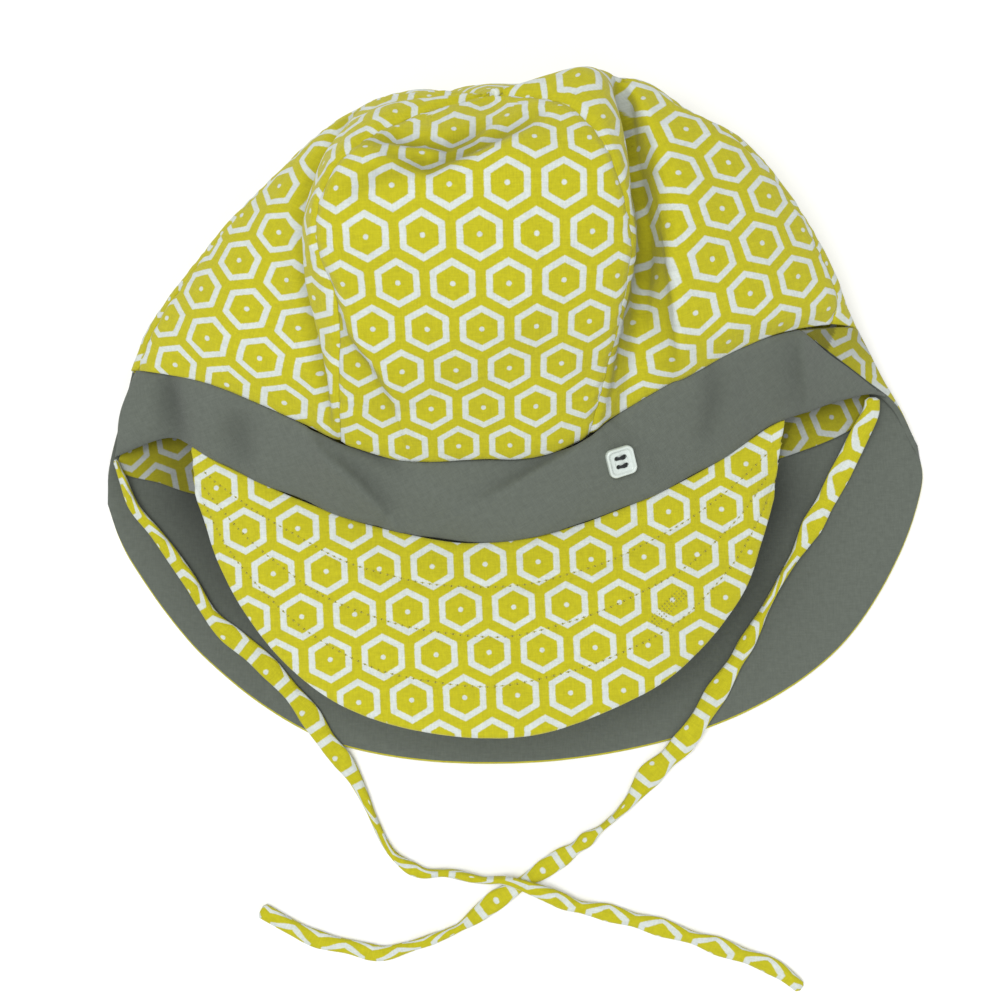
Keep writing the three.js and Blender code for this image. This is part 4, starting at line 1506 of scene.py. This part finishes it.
def rounded_square(half, corner, points=12):
    """Points of a square with round corners, anticlockwise."""
    ring = []
    for turn, (sx, sy) in enumerate(((1, 1), (-1, 1), (-1, -1), (1, -1))):
        for step in range(points):
            angle = (turn + step / (points - 1)) * math.pi / 2
            ring.append((
                sx * (half - corner) + corner * math.cos(angle),
                sy * (half - corner) + corner * math.sin(angle),
            ))
    return np.array(ring)


def button_plate(context, half):
    """The button's mesh in millimetres round its own middle, with its rim and its holes."""
    vertices = []
    for inset, height in BUTTON_PROFILE:
        corner = max(BUTTON_CORNER - inset * BUTTON_CORNER_EASE, BUTTON_SHARPEST)
        ring = rounded_square(half - inset, corner)
        vertices += [(px, py, height) for px, py in ring]
    mesh = bpy.data.meshes.new("button")
    mesh.from_pydata(vertices, [], tube_faces(len(BUTTON_PROFILE), len(ring)))
    outward(mesh, merge=1e-4)
    plate = added("plate", mesh)
    drill_mesh = bpy.data.meshes.new("drill")
    bm = bmesh.new()
    for sx in (-1, 1):
        for sy in (-1, 1):
            made = bmesh.ops.create_cone(bm, cap_ends=True, **HOLE)
            place = (sx * HOLE_SPACING / 2, sy * HOLE_SPACING / 2, 1)
            bmesh.ops.translate(bm, verts=made["verts"], vec=place)
    bm.to_mesh(drill_mesh)
    bm.free()
    drill = added("drill", drill_mesh)
    cut = plate.modifiers.new("holes", "BOOLEAN")
    cut.object, cut.operation, cut.solver = drill, "DIFFERENCE", "EXACT"
    soften = plate.modifiers.new("soft edges", "BEVEL")
    soften.width, soften.segments, soften.limit_method = BUTTON_BEVEL, 2, "ANGLE"
    mesh = applied(context, plate)
    bpy.data.objects.remove(drill)
    mesh.materials.clear()
    return mesh


def button_strand(side, strand):
    """Points round one strand of the thread, from one hole over the button to the next."""
    middle, x, y, up = button_place()
    share = np.arange(STRAND_STEPS + 1)[:, None] / STRAND_STEPS
    angle = np.linspace(0, 2 * math.pi, STRAND_SIDES, endpoint=False)[:, None]
    rise = STRAND_RISE * np.sin(math.pi * share) ** 0.5
    lift = STRAND_FOOT + rise + STRAND_UNEVENNESS * math.sin(3 * strand + side)
    lean = STRAND_SWAY * np.sin(2 * math.pi * share + strand)
    across = side * HOLE_SPACING / 2 + (strand - (STRANDS - 1) / 2) * STRAND_GAP + lean
    path = middle + x * (share - 0.5) * STRAND_SPAN + y * across + up * (lift + BUTTON_SEAT)
    later, earlier = np.append(path[1:], path[-1:], 0), np.append(path[:1], path[:-1], 0)
    ahead = unit(later - earlier)
    one = unit(np.cross(ahead, y))
    two = np.cross(ahead, one)
    rings = one[:, None] * np.cos(angle) + two[:, None] * np.sin(angle)
    return (path[:, None] + STRAND_RADIUS * rings).reshape(-1, 3)


class HAT_OT_button(bpy.types.Operator):
    """Makes the square button with its raised rim, four holes and thread"""

    bl_idname = "sun_hat.button"
    bl_label = "Button"

    def execute(self, context):
        sizes, colours = context.scene.hat_sizes, context.scene.hat_colours
        middle, x, y, up = button_place()
        mesh = button_plate(context, sizes.button_side / MM / 2)
        for vertex in mesh.vertices:
            px, py, pz = vertex.co
            vertex.co = Vector((middle + x * px + y * py + up * (pz + BUTTON_SEAT)) * MM)
        plastic = grained_material("button plastic", colours.plastic)
        thing = finished("button_plate", mesh, [plastic])
        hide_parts("button")

        vertices, faces = [], []
        for side in (-1, 1):
            for strand in range(STRANDS):
                faces += tube_faces(STRAND_STEPS + 1, STRAND_SIDES, len(vertices))
                vertices += (button_strand(side, strand) * MM).tolist()
        mesh = bpy.data.meshes.new("button_thread")
        mesh.from_pydata(vertices, [], faces)
        outward(mesh)
        finished("button_thread", mesh, [grained_material("button thread", colours.dark)])
        return {"FINISHED"}


@made_once("node_groups")
def stitch_tree(name, thread, hole):
    """A geometry tree that lays stitches, and dark spots of painted shade for the needle holes, along
    lines of vertices.
    """
    sizes = {size: "NodeSocketFloat" for size in ("Pitch", "Length", "Width", "Hole")}
    tree, given, out = group_with(
        name, "GeometryNodeTree", {"Lines": "NodeSocketGeometry", **sizes},
        {"Stitches": "NodeSocketGeometry"},
    )
    make, calculate = partial(node, tree), partial(math_node, tree)
    curve = make("GeometryNodeMeshToCurve", {"Mesh": given["Lines"]}).outputs["Curve"]
    joined = make("GeometryNodeJoinGeometry")
    kinds = [
        {"material": thread, "rings": 6, "shift": {},
         "size": (given["Length"], given["Width"], given["Width"])},
        # Needle holes: dark flattened spots of painted shade
        {"material": hole, "rings": 4, "shift": {0: calculate("MULTIPLY", given["Pitch"], 0.5)},
         "size": (given["Hole"], given["Hole"], calculate("MULTIPLY", given["Hole"], HOLE_DEPTH))},
    ]
    for kind in kinds:
        points = make(
            "GeometryNodeCurveToPoints", {"Curve": curve, "Length": given["Pitch"]}, mode="LENGTH"
        ).outputs
        up = make("GeometryNodeInputNamedAttribute", {"Name": "up"}, data_type="FLOAT_VECTOR")
        level = make(
            "FunctionNodeAlignRotationToVector", {"Vector": up.outputs["Attribute"]}, axis="Z"
        )
        aimed = make(
            "FunctionNodeAlignRotationToVector",
            {"Rotation": level.outputs["Rotation"], "Vector": points["Tangent"]},
            axis="X", pivot_axis="Z",
        )
        shape = make(
            "GeometryNodeMeshUVSphere", {"Segments": 8, "Rings": kind["rings"], "Radius": 0.5}
        )
        placed = make("GeometryNodeInstanceOnPoints", {
            "Points": points["Points"], "Instance": shape.outputs["Mesh"],
            "Rotation": aimed.outputs["Rotation"],
            "Scale": make("ShaderNodeCombineXYZ", dict(enumerate(kind["size"]))).outputs[0],
        })
        moved = make("GeometryNodeTranslateInstances", {
            "Instances": placed.outputs["Instances"], "Local Space": True,
            "Translation": make("ShaderNodeCombineXYZ", kind["shift"]).outputs[0],
        })
        real = make("GeometryNodeRealizeInstances", {"Geometry": moved.outputs["Instances"]})
        finish = make("GeometryNodeSetMaterial", {
            "Geometry": real.outputs["Geometry"], "Material": kind["material"],
        })
        tree.links.new(finish.outputs["Geometry"], joined.inputs[0])
    tree.links.new(joined.outputs["Geometry"], out["Stitches"])
    return tree


def stitched(context, name, lines, **sizes):
    """A piece made of stitches along lines, each its points and the direction up at each point."""
    colours = context.scene.hat_colours
    thread = grained_material("quilting thread", colours.thread)
    # The needle holes are dark spots of painted shade
    dark = grained_material("needle holes", NEEDLE_HOLE_SHADE)
    tree = stitch_tree("stitches", thread, dark)
    vertices, edges, up = [], [], []
    for points, ups in lines:
        start = len(vertices)
        vertices += (np.array(points) * MM).tolist()
        up += ups
        edges += [(start + i, start + i + 1) for i in range(len(points) - 1)]
    mesh = bpy.data.meshes.new(name + " lines")
    mesh.from_pydata(vertices, edges, [])
    attribute = mesh.attributes.new("up", "FLOAT_VECTOR", "POINT")
    attribute.data.foreach_set("vector", np.array(up, np.float32).ravel())
    guide = added(name + " guide", mesh)
    modifier = guide.modifiers.new("stitches", "NODES")
    modifier.node_group = tree
    for item in tree.interface.items_tree:
        if item.in_out == "INPUT" and item.name in sizes:
            modifier[item.identifier] = float(sizes[item.name])
    made = applied(context, guide)
    if not made.polygons:
        raise RuntimeError(f"{name}: no stitches were made")
    made.name = name
    finished(name, made)


class HAT_OT_stitches(bpy.types.Operator):
    """Lays the visor's stitched rows and the bar of stitches that ends them"""

    bl_idname = "sun_hat.stitches"
    bl_label = "Stitches"

    def execute(self, context):
        sizes = context.scene.hat_sizes
        grid, normal, _ = visor_cloth(sizes)
        share = run_along(grid, 0)
        share = share / share[-1:]
        columns = grid.shape[1]
        lines = []
        for row in range(1, sizes.quilt_rows + 1):
            points, ups = [], []
            for column in range(UNSTITCHED_COLUMNS, columns - UNSTITCHED_COLUMNS, 2):
                depth = share[:, column]
                wanted = quilt_row(row, sizes.quilt_rows, column / (columns - 1))
                picked = [np.interp(wanted, depth, grid[:, column, k]) for k in range(3)]
                ups.append(normal[np.searchsorted(depth, wanted), column])
                points.append(np.array(picked) + STITCH_LIFT * ups[-1])
            lines.append((points, ups))
        stitched(
            context, "visor_stitches", lines, Pitch=sizes.stitch_pitch,
            Length=sizes.stitch_length, Width=sizes.stitch_width, Hole=QUILT_HOLE * MM,
        )
        start, end = np.array(BACK_TACK["start"], float), np.array(BACK_TACK["end"], float)
        across = unit(np.array([start[1] - end[1], end[0] - start[0]]))
        lines = []
        for row in np.linspace(-0.5, 0.5, BACK_TACK["rows"]):
            points, ups = [], []
            for along_bar in np.linspace(0, 1, 20):
                place = start + (end - start) * along_bar + across * BACK_TACK["width"] * row
                gap = ((grid[..., :2] - place) ** 2).sum(-1)
                nearest = np.unravel_index(gap.argmin(), gap.shape)
                ups.append(normal[nearest])
                points.append(np.array([*place, grid[nearest][2]]) + STITCH_LIFT * ups[-1])
            lines.append((points, ups))
        stitched(
            context, "visor_back_tack", lines, Pitch=0.5 * sizes.stitch_pitch,
            Length=0.4 * sizes.stitch_length, Width=sizes.stitch_width, Hole=BACK_TACK_HOLE * MM,
        )
        return {"FINISHED"}


class HAT_PT_panel(bpy.types.Panel):
    """Lists the hat's sizes, colours and pieces"""

    bl_label = "Sun Hat"
    bl_idname = "HAT_PT_panel"
    bl_space_type = "VIEW_3D"
    bl_region_type = "UI"
    bl_category = "Sun Hat"

    def draw(self, context):
        layout = self.layout
        for group in (context.scene.hat_sizes, context.scene.hat_colours):
            box = layout.box()
            for name in group.__annotations__:
                box.prop(group, name)
        for operator in OPERATORS:
            layout.operator(operator.bl_idname)


OPERATORS = [
    HAT_OT_stage, HAT_OT_ties, HAT_OT_crown, HAT_OT_band, HAT_OT_visor, HAT_OT_flap,
    HAT_OT_button, HAT_OT_stitches,
]
CLASSES = [HatSizes, HatColours, *OPERATORS, HAT_PT_panel]


def register():
    for cls in CLASSES:
        bpy.utils.register_class(cls)
    bpy.types.Scene.hat_sizes = PointerProperty(type=HatSizes)
    bpy.types.Scene.hat_colours = PointerProperty(type=HatColours)


def unregister():
    del bpy.types.Scene.hat_colours
    del bpy.types.Scene.hat_sizes
    for cls in reversed(CLASSES):
        bpy.utils.unregister_class(cls)


def main():
    register()
    bpy.ops.sun_hat.stage()
    bpy.ops.sun_hat.ties()
    bpy.ops.sun_hat.crown()
    bpy.ops.sun_hat.band()
    bpy.ops.sun_hat.visor()
    bpy.ops.sun_hat.flap()
    bpy.ops.sun_hat.button()
    bpy.ops.sun_hat.stitches()


if __name__ == "__main__":
    main()
